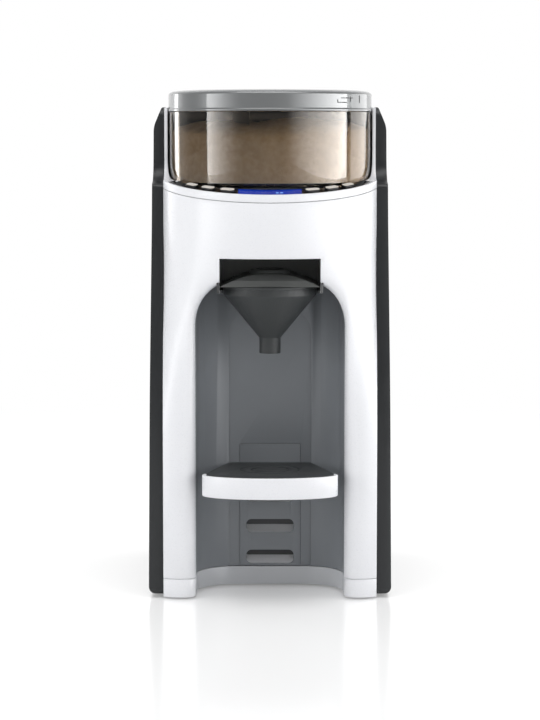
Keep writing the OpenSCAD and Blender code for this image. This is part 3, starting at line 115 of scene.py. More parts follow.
# Finishes, by the record's material slots
finishes = {
    # moulded ABS, polished tool: clean white with a soft shine
    "gloss_white": ("polishedWhiteAbs", {"colour": "#f2f3f6", "drift": "#eff0f4", "grainMm": 0.9,
                    "rough": 0.28, "roughDrift": 0.03, "bump": 0.04, "ior": 1.43}),
    # spark-eroded ABS: near black, an even satin with fine grain
    "black_satin": ("satinBlackAbs", {"colour": "#222426", "drift": "#282a2c", "grainMm": 0.5,
                    "rough": 0.4, "roughDrift": 0.06, "bump": 0.25, "ior": 1.53}),
    # spark-eroded ABS in mid grey, for the bay
    "grey_satin": ("satinGreyAbs", {"colour": "#8c9095", "drift": "#92969b", "grainMm": 0.6,
                   "rough": 0.42, "roughDrift": 0.05, "bump": 0.18, "ior": 1.53}),
    # the same in charcoal, for the tray's top; on the walls of the slots it is painted shade
    "dark_satin": ("satinCharcoalAbsAndSlotShade", {"colour": "#37393a", "drift": "#3d3f40", "grainMm": 0.5,
                   "rough": 0.38, "roughDrift": 0.05, "bump": 0.2, "ior": 1.53}),
    # polished acrylic, black: mirror-like
    "black_gloss": ("polishedBlackAcrylic", {"colour": "#08090b", "drift": "#0b0c0f", "grainMm": 2.0,
                    "rough": 0.07, "roughDrift": 0.02, "bump": 0.01, "ior": 1.49, "coat": 0.5}),
    # silver lacquer on plastic: fine flakes under a clear coat
    "silver_paint": ("silverLacquer", {"colour": "#787a7b", "drift": "#7f8182", "grainMm": 0.35,
                     "rough": 0.34, "roughDrift": 0.07, "bump": 0.06, "metal": 0.3,
                     "coat": 1.0, "coatRough": 0.05}),
    # moulded acetal: a waxy, even sheen
    "paddle_grey": ("satinGreyAcetal", {"colour": "#8f9192", "drift": "#989a9b", "grainMm": 0.8,
                    "rough": 0.4, "roughDrift": 0.05, "bump": 0.1, "soft": 0.2}),
    "ivory_plastic": ("naturalAcetal", {"colour": "#e6e2d6", "drift": "#ddd8ca", "grainMm": 0.8,
                      "rough": 0.34, "roughDrift": 0.05, "bump": 0.1, "soft": 0.3}),
    # moulded silicone: milky, soft sheen
    "silicone": ("milkySilicone", {"colour": "#dcdcd8", "drift": "#e4e4e0", "grainMm": 0.8,
                 "rough": 0.48, "roughDrift": 0.06, "bump": 0.1, "soft": 0.5, "ior": 1.41}),
    # moulded rubber: near black and dull
    "rubber": ("mouldedRubber", {"colour": "#1b1b1b", "drift": "#232323", "grainMm": 0.5,
               "rough": 0.75, "roughDrift": 0.08, "bump": 0.4}),
    # drawn steel, zinc plated: brushed along Z
    "steel": ("zincPlatedSteel", {"colour": "#a7a9ab", "drift": "#b4b6b8", "grainMm": 0.4,
              "stretch": (1, 1, 0.05), "rough": 0.32, "roughDrift": 0.1, "bump": 0.15, "metal": 1.0}),
    # turned brass: fine rings from the lathe
    "brass": ("turnedBrass", {"colour": "#b8964e", "drift": "#c4a460", "grainMm": 0.3,
              "stretch": (1, 1, 6), "rough": 0.28, "roughDrift": 0.08, "bump": 0.12, "metal": 1.0}),
    # glass-fibre board under green solder mask: a thin, slightly uneven gloss
    "board": ("solderMaskGreen", {"colour": "#14502c", "drift": "#1a5e36", "grainMm": 1.4,
              "rough": 0.35, "roughDrift": 0.08, "bump": 0.1}),
    # foamed polypropylene: orange, dull, with open pores
    "float_orange": ("foamedPolypropylene", {"colour": "#d0692a", "drift": "#c65f22", "grainMm": 0.7,
                     "rough": 0.6, "roughDrift": 0.08, "bump": 0.5}),
    # the same ABS in lighter and darker greys: base trim and lid lining, slot floors, dock;
    # the light grey of the base trim is painted light, lifted for the shade under the bay
    "light_grey": ("satinLightGreyAbsAndPaintedLight", {"colour": "#dcdee2", "drift": "#e1e3e6", "grainMm": 0.6,
                   "rough": 0.4, "roughDrift": 0.05, "bump": 0.15, "ior": 1.53}),
    # the slot floors: the bay's grey plastic painted pale, as painted light in the pockets' shade
    "slot_floor_painted_light": ("slotFloorPaintedLight", {"colour": "#f3f4f6", "drift": "#eff0f3", "grainMm": 0.6,
                    "rough": 0.4, "roughDrift": 0.05, "bump": 0.15, "ior": 1.53}),
    # the dock's inside: a light grey standing in for light in its shaded hollow, painted light
    "dock_inside_painted_light": ("dockInsidePaintedLight", {"colour": "#9a9d9c", "drift": "#a0a3a2", "grainMm": 0.6,
                 "rough": 0.42, "roughDrift": 0.05, "bump": 0.15, "ior": 1.53}),
    # pale silver lacquer, for the buttons: their silver lifted to near white, partly a painted highlight
    "pale_silver": ("paleSilverLacquerAndPaintedHighlight", {"colour": "#ece7e0", "drift": "#e5e0d9", "grainMm": 0.5,
                    "rough": 0.28, "roughDrift": 0.05, "bump": 0.05, "metal": 0.1}),
}
made = {slot: solidFinish(name, look) for slot, (name, look) in finishes.items()}

hazeSwing = 0.4  # how far the haze takes the gloss from its middle, as a share


# Clear or dark see-through mouldings: the colour is in the plastic, with a hair of haze in the gloss
def clearFinish(name, look):
    material, tree = newMaterial(name)
    place = addNode(tree, "TexCoord").outputs["Object"]
    haze = addNode(tree, "TexNoise", values={"Scale": 1 / (look["hazeMm"] * mm), "Detail": 2.0},
                   links={"Vector": place})
    tint = addNode(tree, "Mix", {"data_type": "RGBA"},
                   {6: toLinear(look["colour"]), 7: toLinear(look["drift"])}, {0: haze.outputs["Fac"]})
    gloss = addNode(tree, "MapRange", values={"To Min": look["rough"] * (1 - hazeSwing),
                                              "To Max": look["rough"] * (1 + hazeSwing)},
                    links={"Value": haze.outputs["Fac"]})
    shader = addNode(tree, "BsdfPrincipled",
                     values={"IOR": look["ior"], "Transmission Weight": look["clear"]},
                     links={"Base Color": tint.outputs[2], "Roughness": gloss.outputs[0]})
    addNode(tree, "OutputMaterial", links={"Surface": shader.outputs[0]})
    return material


clearLooks = {
    # copolyester, smoke tinted and polished: clear, warm grey, sharp reflections
    "smoke_clear": ("smokedCopolyester", {"colour": "#d2c8bc", "drift": "#cec4b8", "hazeMm": 12,
                    "rough": 0.02, "ior": 1.56, "clear": 1.0}),
    # the same in a deep tint, for the container's half inside the housing: painted shade from the housing
    "smoke_painted_shade": ("smokedCopolyesterPaintedShade", {"colour": "#2b2928", "drift": "#2e2c2b", "hazeMm": 12,
                   "rough": 0.05, "ior": 1.56, "clear": 1.0}),
    # dark smoky polypropylene: barely lets light through
    "smoke_dark": ("darkSmokedPolypropylene", {"colour": "#343738", "drift": "#393c3d", "hazeMm": 9,
                   "rough": 0.5, "ior": 1.49, "clear": 0.12}),
    # a lighter copy for the funnel cover: painted light, lifted for the shade under the hood
    "smoke_cover_painted_light": ("smokedPolypropylenePaintedLight", {"colour": "#545655", "drift": "#5a5c5b", "hazeMm": 9,
                    "rough": 0.36, "ior": 1.49, "clear": 0.1}),
    # the tank's copolyester: a cool grey tint
    "tank_clear": ("greySmokedCopolyester", {"colour": "#8d949a", "drift": "#878e94", "hazeMm": 14,
                   "rough": 0.04, "ior": 1.56, "clear": 1.0}),
}
made.update({slot: clearFinish(name, look) for slot, (name, look) in clearLooks.items()})


# Dry milk powder: fine warm grains, clumps of a few mm, no shine
def powderFinish(look):
    material, tree = newMaterial("dryMilkPowder")
    place = addNode(tree, "TexCoord").outputs["Object"]
    clump = addNode(tree, "TexNoise", links={"Vector": place},
                    values={"Scale": 1 / (look["clumpMm"] * mm), "Detail": 5.0, "Roughness": 0.6})
    grain = addNode(tree, "TexVoronoi", values={"Scale": 1 / (look["grainMm"] * mm)}, links={"Vector": place})
    # the colour follows the clump noise that also drives the bump, darker in its hollows as painted shade
    ramp = addNode(tree, "ValToRGB", links={"Fac": clump.outputs["Fac"]})
    for stop, (position, colour) in zip(ramp.color_ramp.elements, look["stops"]):
        stop.position = position
        stop.color = toLinear(colour)
    coarse = addNode(tree, "Bump", values={"Strength": 0.8, "Distance": look["clumpDepthMm"] * mm},
                     links={"Height": clump.outputs["Fac"]})
    fine = addNode(tree, "Bump", values={"Strength": 0.5, "Distance": look["grainDepthMm"] * mm},
                   links={"Height": grain.outputs["Distance"], "Normal": coarse.outputs[0]})
    shader = addNode(tree, "BsdfPrincipled",
                     values={"Roughness": look["rough"], "Sheen Weight": look["sheen"]},
                     links={"Base Color": ramp.outputs[0], "Normal": fine.outputs[0]})
    addNode(tree, "OutputMaterial", links={"Surface": shader.outputs[0]})
    return material


made["powder"] = powderFinish({"clumpMm": 4.5, "clumpDepthMm": 0.8, "grainMm": 0.9, "grainDepthMm": 0.3,
                               "stops": ((0.35, "#dcc8aa"), (0.7, "#f2e2c8")),  # painted shade in the hollows, lighter on the clumps
                               "rough": 0.95, "sheen": 0.2})


# Backlit display window: light behind polished acrylic, a little uneven, with patches of about 17 mm
def displayFinish(name, look):
    material, tree = newMaterial(name)
    place = addNode(tree, "TexCoord").outputs["Object"]
    glow = addNode(tree, "TexNoise", values={"Scale": look["patchesPerM"], "Detail": 1.0},
                   links={"Vector": place})
    light = addNode(tree, "Mix", {"data_type": "RGBA"},
                    {6: toLinear(look["dim"]), 7: toLinear(look["bright"])}, {0: glow.outputs["Fac"]})
    shader = addNode(tree, "BsdfPrincipled",
                     values={"Base Color": (0.005, 0.006, 0.02, 1), "Roughness": 0.08, "Coat Weight": 0.5,
                             "Emission Strength": look["strength"]},
                     links={"Emission Color": light.outputs[2]})
    addNode(tree, "OutputMaterial", links={"Surface": shader.outputs[0]})
    return material


made["lit_display"] = displayFinish("litDisplayBlue", {"dim": "#06208e", "bright": "#1448cc",
                                    "strength": 0.85, "patchesPerM": 60.0})
made["lit_marks"] = displayFinish("litDisplayMarks", {"dim": "#6fb2ff", "bright": "#a8d8ff",
                                  "strength": 1.4, "patchesPerM": 60.0})
print("materials made:", len(made))

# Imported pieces: each gets its finish, and the ones that show get softened edges
for name, node in nodes.items():
    node.data.materials.clear()
    node.data.materials.append(made[slotOf[name]])


def link(mesh, name, node, finish):
    piece = bpy.data.objects.new(name, mesh)
    bpy.context.scene.collection.objects.link(piece)
    piece.data.materials.append(finish)
    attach(piece, bodyOf[node])
    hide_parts(node)
    return piece


def softenEdges(piece, widthMm, angle=30, corners="MITER_SHARP"):
    soften = piece.modifiers.new("softEdges", "BEVEL")
    soften.width = widthMm * mm
    soften.segments = 3
    soften.limit_method = "ANGLE"
    soften.angle_limit = math.radians(angle)
    soften.miter_outer = corners
    soften.harden_normals = True


softening = {"mergeMm": 0.004, "flatAngle": 0.3, "sharpAngle": 32}


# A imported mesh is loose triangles: its copy is merged and its flat faces made whole before the bevel
def softenedCopy(node, edgeMm):
    mesh = bpy.data.meshes.new(node + "_piece")
    bm = bmesh.new()
    bm.from_mesh(nodes[node].data)
    bmesh.ops.remove_doubles(bm, verts=bm.verts, dist=softening["mergeMm"] * mm)
    bmesh.ops.dissolve_limit(bm, angle_limit=math.radians(softening["flatAngle"]), delimit={"NORMAL"},
                             use_dissolve_boundaries=False, verts=bm.verts, edges=bm.edges)
    for face in bm.faces:
        face.smooth = True
    bm.to_mesh(mesh)
    bm.free()
    piece = link(mesh, node + "_piece", node, made[slotOf[node]])
    softenEdges(piece, edgeMm, softening["sharpAngle"], "MITER_ARC")
    return piece


edgeRadii = {  # in mm
    "front_shell": 0.5, "upper_collar": 0.35, "left_side_panel": 0.9, "right_side_panel": 0.9,
    "rear_shell": 0.6, "bay_liner": 0.3, "slot_panel": 0.3, "base_frame": 0.5, "base_trim": 0.3,
    "bottom_plate": 0.3, "rubber_feet": 0.5, "funnel_dock": 0.4, "funnel": 0.35, "funnel_cover": 0.4,
    "tray_frame": 0.7, "tray_mat": 0.25, "tray_hook": 0.3, "control_strip": 0.12, "lcd_screen": 0.1,
    "tank_body": 0.5, "tank_lid": 0.5, "tank_seat": 0.4,
    "power_inlet": 0.3, "stirrer": 0.3, "mixing_wheel": 0.3, "water_nozzle": 0.3,
    "tank_float": 0.5, "heater": 0.4, "gearmotor": 0.4,
}
pieces = {node: softenedCopy(node, edge) for node, edge in edgeRadii.items()}
# the base trim's light grey is painted light, lifted to stand in for light in the shade of the bay
pieces["base_trim"].data.materials[0] = made["light_grey"]
# the funnel cover's lighter smoke is painted light
pieces["funnel_cover"].data.materials[0] = made["smoke_cover_painted_light"]

# The dock is painted light grey inside, as painted light in its shaded hollow, with a thin black frame round
# its opening
dockInside = {"halfWidth": 37.75, "top": 260.65, "railTop": 238.0}
dock = pieces["funnel_dock"].data
dock.materials[0] = made["dock_inside_painted_light"]
dock.materials.append(made["black_satin"])
for face in dock.polygons:
    inside = abs(face.center.x) < dockInside["halfWidth"] * mm
    if not (inside and dockInside["railTop"] * mm < face.center.z < dockInside["top"] * mm):
        face.material_index = 1

# The tray's slots: a pale sloping floor as painted light, a dark wall above it as painted shade
slots = {"front": -36.7, "halfWidth": 20.0, "rise": 0.2}
slotPanel = pieces["slot_panel"].data
slotPanel.materials.append(made["slot_floor_painted_light"])
slotPanel.materials.append(made["dark_satin"])
for face in slotPanel.polygons:
    if face.center.y > slots["front"] * mm and abs(face.center.x) < slots["halfWidth"] * mm:
        face.material_index = 1 if face.normal.z > slots["rise"] else 2
print("softened pieces:", len(pieces))

turning = {"steps": 192, "mergeMm": 0.002}


# A profile of (radius, height) in mm, turned round an upright axis at the given y
def turned(name, node, profile, axisY, finish, edgeMm=0.0, ring=False):
    mesh = bpy.data.meshes.new(name)
    bm = bmesh.new()
    points = [bm.verts.new((radius * mm, axisY * mm, height * mm)) for radius, height in profile]
    lines = [bm.edges.new(pair) for pair in zip(points, points[1:] + (points[:1] if ring else []))]
    bmesh.ops.spin(bm, geom=points + lines, cent=(0, axisY * mm, 0), axis=(0, 0, 1),
                   angle=math.tau, steps=turning["steps"], use_merge=True)
    bmesh.ops.remove_doubles(bm, verts=bm.verts, dist=turning["mergeMm"] * mm)
    bmesh.ops.recalc_face_normals(bm, faces=bm.faces)
    for face in bm.faces:
        face.smooth = True
    bm.to_mesh(mesh)
    bm.free()
    piece = link(mesh, name, node, finish)
    softenEdges(piece, edgeMm)
    return piece


def finishMesh(bm, name, node, finish, flat=False):
    mesh = bpy.data.meshes.new(name)
    for face in bm.faces:
        face.smooth = not flat
    bm.to_mesh(mesh)
    bm.free()
    return link(mesh, name, node, finish)


# Powder container: a clear turned wall and a clear floor with its two holes
container = {"axisY": -32.0, "radius": 78.4, "wall": 2.4, "bottom": 313.0, "floor": 3.0, "shoulder": 369.7,
             "foot": 3.0, "footRound": ((1.4, 0.45), (0.45, 1.4)),  # inwards and up from the outer corner
             "neck": 76.4, "neckTop": 380.4, "neckStep": 2.0, "neckBottom": 371.0,
             "plate": 60.0, "hubHole": 11.9, "chuteHole": 10.0, "chuteAt": -46.0, "paintedShadeFrom": 4.0}
inner = container["radius"] - container["wall"]
neckInner = inner - container["neckStep"]
floorTop = container["bottom"] + container["floor"]
wall = turned("container_wall", "container_shell", [
    (container["plate"], container["bottom"]), (container["radius"] - container["foot"], container["bottom"]),
    *[(container["radius"] - inwards, container["bottom"] + up) for inwards, up in container["footRound"]],
    (container["radius"], container["bottom"] + container["foot"]),
    (container["radius"], container["shoulder"]), (container["neck"], container["shoulder"]),
    (container["neck"], container["neckTop"]),
    (neckInner, container["neckTop"]), (neckInner, container["neckBottom"]), (inner, container["neckBottom"]),
    (inner, floorTop), (container["plate"], floorTop),
], container["axisY"], made["smoke_clear"], edgeMm=0.3, ring=True).data
wall.materials.append(made["smoke_painted_shade"])  # the half inside the housing is painted dark, as painted shade
for face in wall.polygons:
    face.material_index = int(face.center.y > (container["axisY"] + container["paintedShadeFrom"]) * mm)
bm = bmesh.new()
for radius, away in ((container["plate"], 0.0), (container["hubHole"], 0.0),
                     (container["chuteHole"], container["chuteAt"])):
    centre = (0, (container["axisY"] + away) * mm, container["bottom"] * mm)
    bmesh.ops.create_circle(bm, segments=96, radius=radius * mm, matrix=Matrix.Translation(centre))
bmesh.ops.triangle_fill(bm, use_beauty=True, use_dissolve=False, edges=bm.edges)
grown = bmesh.ops.extrude_face_region(bm, geom=bm.faces)
bmesh.ops.translate(bm, vec=(0, 0, container["floor"] * mm),
                    verts=[v for v in grown["geom"] if isinstance(v, bmesh.types.BMVert)])
bmesh.ops.recalc_face_normals(bm, faces=bm.faces)
finishMesh(bm, "container_floor", "container_shell", made["smoke_clear"], flat=True)
print("container made")

# Powder: heaped towards the back, crumbly on top, smooth where it lies against the wall. In mm
powder = {"radius": 75.6, "bottom": 316.5, "edge": 351.2, "crest": 363.4, "highest": 368.0,
          "rings": 56, "steps": 200, "lean": 0.9, "backRise": 9.0, "backCurve": 0.8,
          "flatness": 5, "shoulder": 0.8,
          "ridge": (0.1, 22, 17), "hollow": (0.24, -14, 12), "ripple": (0.05, 9, 21),
          "clumpMm": 9.0, "clumpHigh": 1.9, "clumpNoise": (0.9, 2.1, 3), "crumbMm": 1.9, "crumbHigh": 1.0,
          "smoothRim": 14, "rimRough": 0.35}


# How much of the heap's height stands at a place, in mm from the container's axis
def heapShare(x, y):
    high, at, width = powder["ridge"]
    share = 1 + high * math.cos((x - at) / width)
    deep, at, width = powder["hollow"]
    share -= deep * math.exp(-((x - at) / width) ** 2)
    high, across, along = powder["ripple"]
    return share + high * math.sin(x / across + y / along)


def powderHeight(x, y):
    out = math.hypot(x, y) / powder["radius"]
    around = math.atan2(x, -y)
    behind = (0.5 - 0.5 * math.cos(around)) ** powder["backCurve"]
    edge = powder["edge"] + powder["lean"] * math.sin(around) + powder["backRise"] * behind
    heap = (1 - out ** powder["flatness"]) ** powder["shoulder"] if out < 1 else 0.0
    height = edge + (powder["crest"] - edge) * heap * heapShare(x, y)
    place = Vector((x, y, 0))
    rough = (noise.fractal(place / powder["clumpMm"], *powder["clumpNoise"]) * powder["clumpHigh"]
             + noise.noise(place / powder["crumbMm"]) * powder["crumbHigh"])
    away = min(1.0, (1 - out) * powder["smoothRim"])
    return min(height + rough * (powder["rimRough"] + (1 - powder["rimRough"]) * away), powder["highest"])


bm = bmesh.new()
centre = bm.verts.new((0, container["axisY"] * mm, powder["edge"] * mm))
rim = bm.verts.new((powder["radius"] * mm, container["axisY"] * mm, powder["edge"] * mm))
spoke = bm.edges.new((centre, rim))
bmesh.ops.subdivide_edges(bm, edges=[spoke], cuts=powder["rings"] - 1)
bmesh.ops.spin(bm, geom=list(bm.verts) + list(bm.edges), cent=(0, container["axisY"] * mm, 0), axis=(0, 0, 1),
               angle=math.tau, steps=powder["steps"], use_merge=True)
bmesh.ops.remove_doubles(bm, verts=bm.verts, dist=turning["mergeMm"] * mm)
top = list(bm.verts)
skirt = bmesh.ops.extrude_edge_only(bm, edges=[e for e in bm.edges if e.is_boundary])
for v in skirt["geom"]:
    if isinstance(v, bmesh.types.BMVert):
        v.co.z = powder["bottom"] * mm
for v in top:
    v.co.z = powderHeight(v.co.x / mm, v.co.y / mm - container["axisY"]) * mm
bmesh.ops.recalc_face_normals(bm, faces=bm.faces)
finishMesh(bm, "powder_heap", "formula_powder", made["powder"])
print("powder heaped")

# Lid: a lacquered band with a rolled lower lip, a shallow dished top and the marks of its lock
lid = {"radius": 79.0, "bottom": 370.0, "top": 386.4, "innerRadius": 76.8, "innerTop": 384.0, "lining": 0.4,
       "crown": ((30.0, 0.0), (9.0, 0.45), (3.2, 1.3), (1.2, 2.4), (0.55, 3.4)),  # inwards and down
       "bandIn": 0.5, "lip": 1.4, "lipRound": 0.7, "markDepth": 0.06}
bandRadius = lid["radius"] - lid["bandIn"]
liningRadius = lid["innerRadius"] + lid["lining"]
liningTop = lid["innerTop"] + lid["lining"]
lipTop = lid["bottom"] + lid["lip"]
turned("lid_band", "lid", [
    (0.0, lid["top"]), *[(lid["radius"] - inwards, lid["top"] - down) for inwards, down in lid["crown"]],
    (bandRadius, lipTop + lid["lipRound"]), (lid["radius"], lipTop), (lid["radius"], lid["bottom"]),
    (liningRadius, lid["bottom"]), (liningRadius, liningTop), (0.0, liningTop),
], container["axisY"], made["silver_paint"], edgeMm=0.35)
turned("lid_lining", "lid", [
    (0.0, liningTop), (liningRadius, liningTop), (liningRadius, lid["bottom"] + lid["lining"]),
    (lid["innerRadius"], lid["bottom"] + lid["lining"]), (lid["innerRadius"], lid["innerTop"]),
    (0.0, lid["innerTop"]),
], container["axisY"], made["light_grey"])

lockMarks = [  # azimuth from, azimuth to, height from, height to
    (39.9, 47.4, 376.1, 376.7), (39.9, 40.4, 376.1, 378.6), (42.6, 52.4, 379.4, 380.0),
    (50.0, 50.6, 376.9, 380.0), (59.0, 59.75, 376.1, 381.8),
]
bm = bmesh.new()
reach = bandRadius + lid["markDepth"]
for fromAngle, toAngle, low, high in lockMarks:
    strip = bmesh.ops.create_grid(bm, x_segments=8, y_segments=1, size=0.5)
    for v in strip["verts"]:
        angle = math.radians(fromAngle + (toAngle - fromAngle) * (v.co.x + 0.5))
        height = low + (high - low) * (v.co.y + 0.5)
        v.co = Vector((reach * math.sin(angle), container["axisY"] - reach * math.cos(angle), height)) * mm
for face in bm.faces:
    middle = face.calc_center_median()
    if face.normal.dot(middle - Vector((0, container["axisY"] * mm, middle.z))) < 0:
        face.normal_flip()
finishMesh(bm, "lid_marks", "lid", made["rubber"])
print("lid made")

# Buttons on the tilted ledge before the container: polished black ovals, open below, each with a
# pale silver cap, a flat sheet held a little above it; the cap's near-white is partly a painted highlight
ledgeButtons = {"place": (0, -40.0, 315.363), "tilt": 9, "ring": 77.6, "top": 6.511, "cone": 11.0,
                "proud": 1.2, "width": 12.0, "depth": 5.4, "height": 2.3, "edge": 0.22,
                "capIn": 0.4, "capAbove": 0.27,
                "angles": {"power_button": -49.0, "temperature_button": -36.5, "volume_button": -24.0,
                           "minus_button": 24.0, "plus_button": 36.5, "start_button": 49.0}}
ledge = (Matrix.Translation(Vector(ledgeButtons["place"]) * mm)
         @ Matrix.Rotation(math.radians(ledgeButtons["tilt"]), 4, "X"))
coneRise = math.tan(math.radians(ledgeButtons["cone"]))  # the ledge also falls outwards, as a cone


def stretchedCircle(bm, width, depth, z):
    ring = bmesh.ops.create_circle(bm, cap_ends=True, segments=40, radius=depth / 2 * mm,
                                   matrix=Matrix.Translation((0, 0, z * mm)))["verts"]
    for v in ring:
        v.co.x += math.copysign((width - depth) / 2 * mm, v.co.x)


def onLedge(bm, angle):
    for v in bm.verts:
        v.co.z += v.co.y * coneRise
    place = (ledge @ Matrix.Rotation(math.radians(angle), 4, "Z")
             @ Matrix.Translation((0, -ledgeButtons["ring"] * mm, 0)))
    bmesh.ops.transform(bm, matrix=place, verts=bm.verts)


crown = ledgeButtons["top"] + ledgeButtons["proud"]
for node, angle in ledgeButtons["angles"].items():
    bm = bmesh.new()
    stretchedCircle(bm, ledgeButtons["width"], ledgeButtons["depth"], crown)
    skirt = bmesh.ops.extrude_edge_only(bm, edges=[e for e in bm.edges if e.is_boundary])
    bmesh.ops.translate(bm, vec=(0, 0, -ledgeButtons["height"] * mm),
                        verts=[v for v in skirt["geom"] if isinstance(v, bmesh.types.BMVert)])
    bmesh.ops.recalc_face_normals(bm, faces=bm.faces)
    onLedge(bm, angle)
    softenEdges(finishMesh(bm, node + "_wall", node, made["black_gloss"]), ledgeButtons["edge"])
    bm = bmesh.new()
    stretchedCircle(bm, ledgeButtons["width"] - 2 * ledgeButtons["capIn"],
                    ledgeButtons["depth"] - 2 * ledgeButtons["capIn"], crown + ledgeButtons["capAbove"])
    onLedge(bm, angle)
    finishMesh(bm, node + "_dome", node, made["pale_silver"])

# Small generic marks on the lit display: two short bars, flat as print
marks = {"lift": 0.16, "reach": 78.6, "bars": (5.4, 8.6), "barSize": (2.0, 1.1)}
bm = bmesh.new()
height = ledgeButtons["top"] + marks["lift"]
for across in marks["bars"]:
    bar = bmesh.ops.create_grid(bm, x_segments=2, y_segments=1, size=0.5,
                                matrix=Matrix.Translation((across * mm, 0, height * mm)))["verts"]
    bmesh.ops.scale(bm, vec=(marks["barSize"][0] * mm, marks["barSize"][1] * mm, 1), verts=bar,
                    space=Matrix.Translation((-across * mm, 0, -height * mm)))
for v in bm.verts:
    v.co.z += v.co.y * coneRise
    around = math.asin(v.co.x / (marks["reach"] * mm))
    v.co.y += (1 - math.cos(around)) * marks["reach"] * mm
lower = (marks["reach"] - ledgeButtons["ring"]) * coneRise  # the cone falls on the way out to the display
outwards = Matrix.Translation((0, -marks["reach"] * mm, -lower * mm))
bmesh.ops.transform(bm, matrix=ledge @ outwards, verts=bm.verts)
finishMesh(bm, "display_marks", "lcd_screen", made["lit_marks"], flat=True)
print("buttons and display marks made")

# Floor: white and polished. The camera sees it lifted a little, and as plain backdrop past plainFrom
studio = {"floorSize": 6, "colour": "#f6f6f6", "rough": 0.16, "ior": 1.45, "lift": 0.21,
          "shadowTo": 0.55, "plainFrom": 1.2, "aim": (0, -0.04, 0.24)}
floorMesh = bpy.data.meshes.new("studioFloor")
bm = bmesh.new()
bmesh.ops.create_grid(bm, x_segments=1, y_segments=1, size=studio["floorSize"] / 2)
bm.to_mesh(floorMesh)
bm.free()
floor = bpy.data.objects.new("studioFloor", floorMesh)
bpy.context.scene.collection.objects.link(floor)
floorFinish, tree = newMaterial("whiteStudioFloor")
polished = addNode(tree, "BsdfPrincipled", values={"Base Color": toLinear(studio["colour"]),
                                                   "Roughness": studio["rough"], "IOR": studio["ior"]})
lift = addNode(tree, "Emission", values={"Color": (1, 1, 1, 1), "Strength": studio["lift"]})
lifted = addNode(tree, "AddShader", links={0: polished.outputs[0], 1: lift.outputs[0]})
place = addNode(tree, "TexCoord").outputs["Object"]
away = addNode(tree, "VectorMath", {"operation": "LENGTH"}, links={0: place}).outputs["Value"]
fade = addNode(tree, "MapRange", {"interpolation_type": "SMOOTHSTEP"},
               {"From Min": studio["shadowTo"], "From Max": studio["plainFrom"]}, {"Value": away})
backdrop = addNode(tree, "Emission", values={"Color": (1, 1, 1, 1), "Strength": 1.0})
shown = addNode(tree, "MixShader", links={0: fade.outputs[0], 1: lifted.outputs[0], 2: backdrop.outputs[0]})
path = addNode(tree, "LightPath")
seen = addNode(tree, "MixShader",
               links={0: path.outputs["Is Camera Ray"], 1: polished.outputs[0], 2: shown.outputs[0]})
addNode(tree, "OutputMaterial", links={"Surface": seen.outputs[0]})
floor.data.materials.append(floorFinish)

# White backdrop. Reflections find it white at the back and the room in front of the machine darker
room = {"diffuse": 0.6, "front": 0.18, "frontEdge": 0.2, "sideEdge": 0.9}
world = bpy.data.worlds.new("studioWorld")
bpy.context.scene.world = world
world.use_nodes = True
tree = world.node_tree
tree.nodes.clear()
path = addNode(tree, "LightPath")
direct = addNode(tree, "Math", {"operation": "ADD", "use_clamp": True},
                 links={0: path.outputs["Is Camera Ray"], 1: path.outputs["Is Transmission Ray"]})
plain = addNode(tree, "MapRange", values={"To Min": room["diffuse"], "To Max": 1.0},
                links={"Value": direct.outputs[0]})
facing = addNode(tree, "SeparateXYZ", links={0: addNode(tree, "TexCoord").outputs["Generated"]})
mirrored = addNode(tree, "MapRange", links={"Value": facing.outputs["Y"]},
                   values={"From Min": room["frontEdge"], "From Max": room["sideEdge"],
                           "To Min": room["front"], "To Max": 1.0})
level = addNode(tree, "Mix",
                links={0: path.outputs["Is Glossy Ray"], 2: plain.outputs[0], 3: mirrored.outputs[0]})
sky = addNode(tree, "Background", values={"Color": (1, 1, 1, 1)}, links={"Strength": level.outputs[0]})
addNode(tree, "OutputWorld", links={"Surface": sky.outputs[0]})

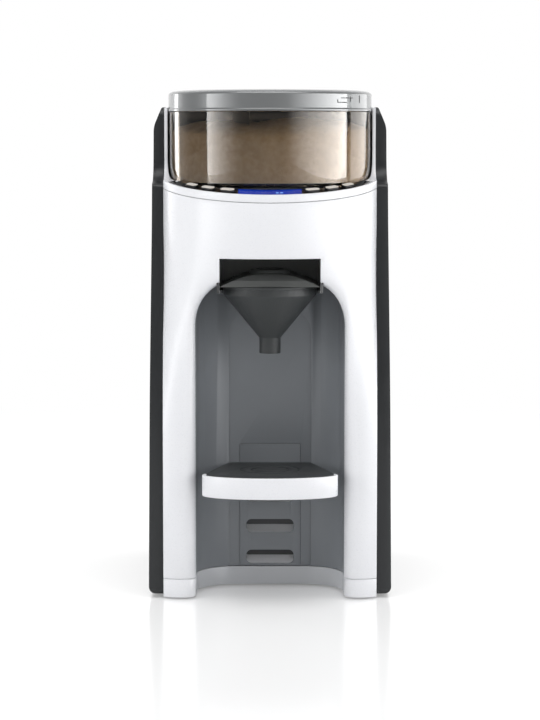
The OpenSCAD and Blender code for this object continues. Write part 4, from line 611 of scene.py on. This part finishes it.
# Softboxes round the machine, all aimed at its middle. The azimuth is 0 in front and grows to the right
softboxes = {  # fade: how fast the box dims towards the camera's side
    "rightBox": {"azimuth": 55.5, "height": 0.2, "distance": 1.5, "size": (2.26, 0.75),
                 "power": 26, "fade": 1.5, "onlyFill": True},
    "rightShine": {"azimuth": 55.5, "height": 0.2, "distance": 1.44, "size": (2.26, 0.75),
                   "power": 50, "fade": 1.2, "onlyShine": True},
    "rightRim": {"azimuth": 119, "height": 0.3, "distance": 1.4, "size": (0.95, 0.6),
                 "power": 3.5, "fade": 0},
    "leftBox": {"azimuth": -50, "height": 0.2, "distance": 1.5, "size": (1.25, 0.75),
                "power": 22, "fade": 2.2},
    "leftRim": {"azimuth": -128, "height": 0.3, "distance": 1.4, "size": (0.24, 0.8),
                "power": 3, "fade": 0},
    "topBox": {"azimuth": 0, "height": 2.0, "distance": 0.6, "size": (1.6, 1.2),
               "power": 16, "fade": 0},
}


def dimTowardsFront(lamp, look):
    lamp.use_nodes = True
    tree = lamp.node_tree
    tree.nodes.clear()
    across = addNode(tree, "SeparateXYZ", links={0: addNode(tree, "NewGeometry").outputs["Parametric"]})
    towards = {"From Min": 1.0, "From Max": 0.0} if look["azimuth"] < 0 else {}
    run = addNode(tree, "MapRange", values=towards, links={"Value": across.outputs["X"]})
    dim = addNode(tree, "Math", {"operation": "POWER"}, {1: look["fade"]}, {0: run.outputs[0]})
    glow = addNode(tree, "Emission", links={"Strength": dim.outputs[0]})
    addNode(tree, "OutputLight", links={"Surface": glow.outputs[0]})


for name, look in softboxes.items():
    lamp = bpy.data.lights.new(name, "AREA")
    lamp.shape = "RECTANGLE"
    lamp.size, lamp.size_y = look["size"]
    lamp.energy = look["power"]
    if look["fade"]:
        dimTowardsFront(lamp, look)
    box = bpy.data.objects.new(name, lamp)
    bpy.context.scene.collection.objects.link(box)
    around = math.radians(look["azimuth"])
    box.location = (look["distance"] * math.sin(around), -look["distance"] * math.cos(around), look["height"])
    box.rotation_euler = (Vector(studio["aim"]) - box.location).to_track_quat("-Z", "Y").to_euler()
    box.visible_diffuse = not look.get("onlyShine", False)
    box.visible_glossy = not look.get("onlyFill", False)
print("studio lit")
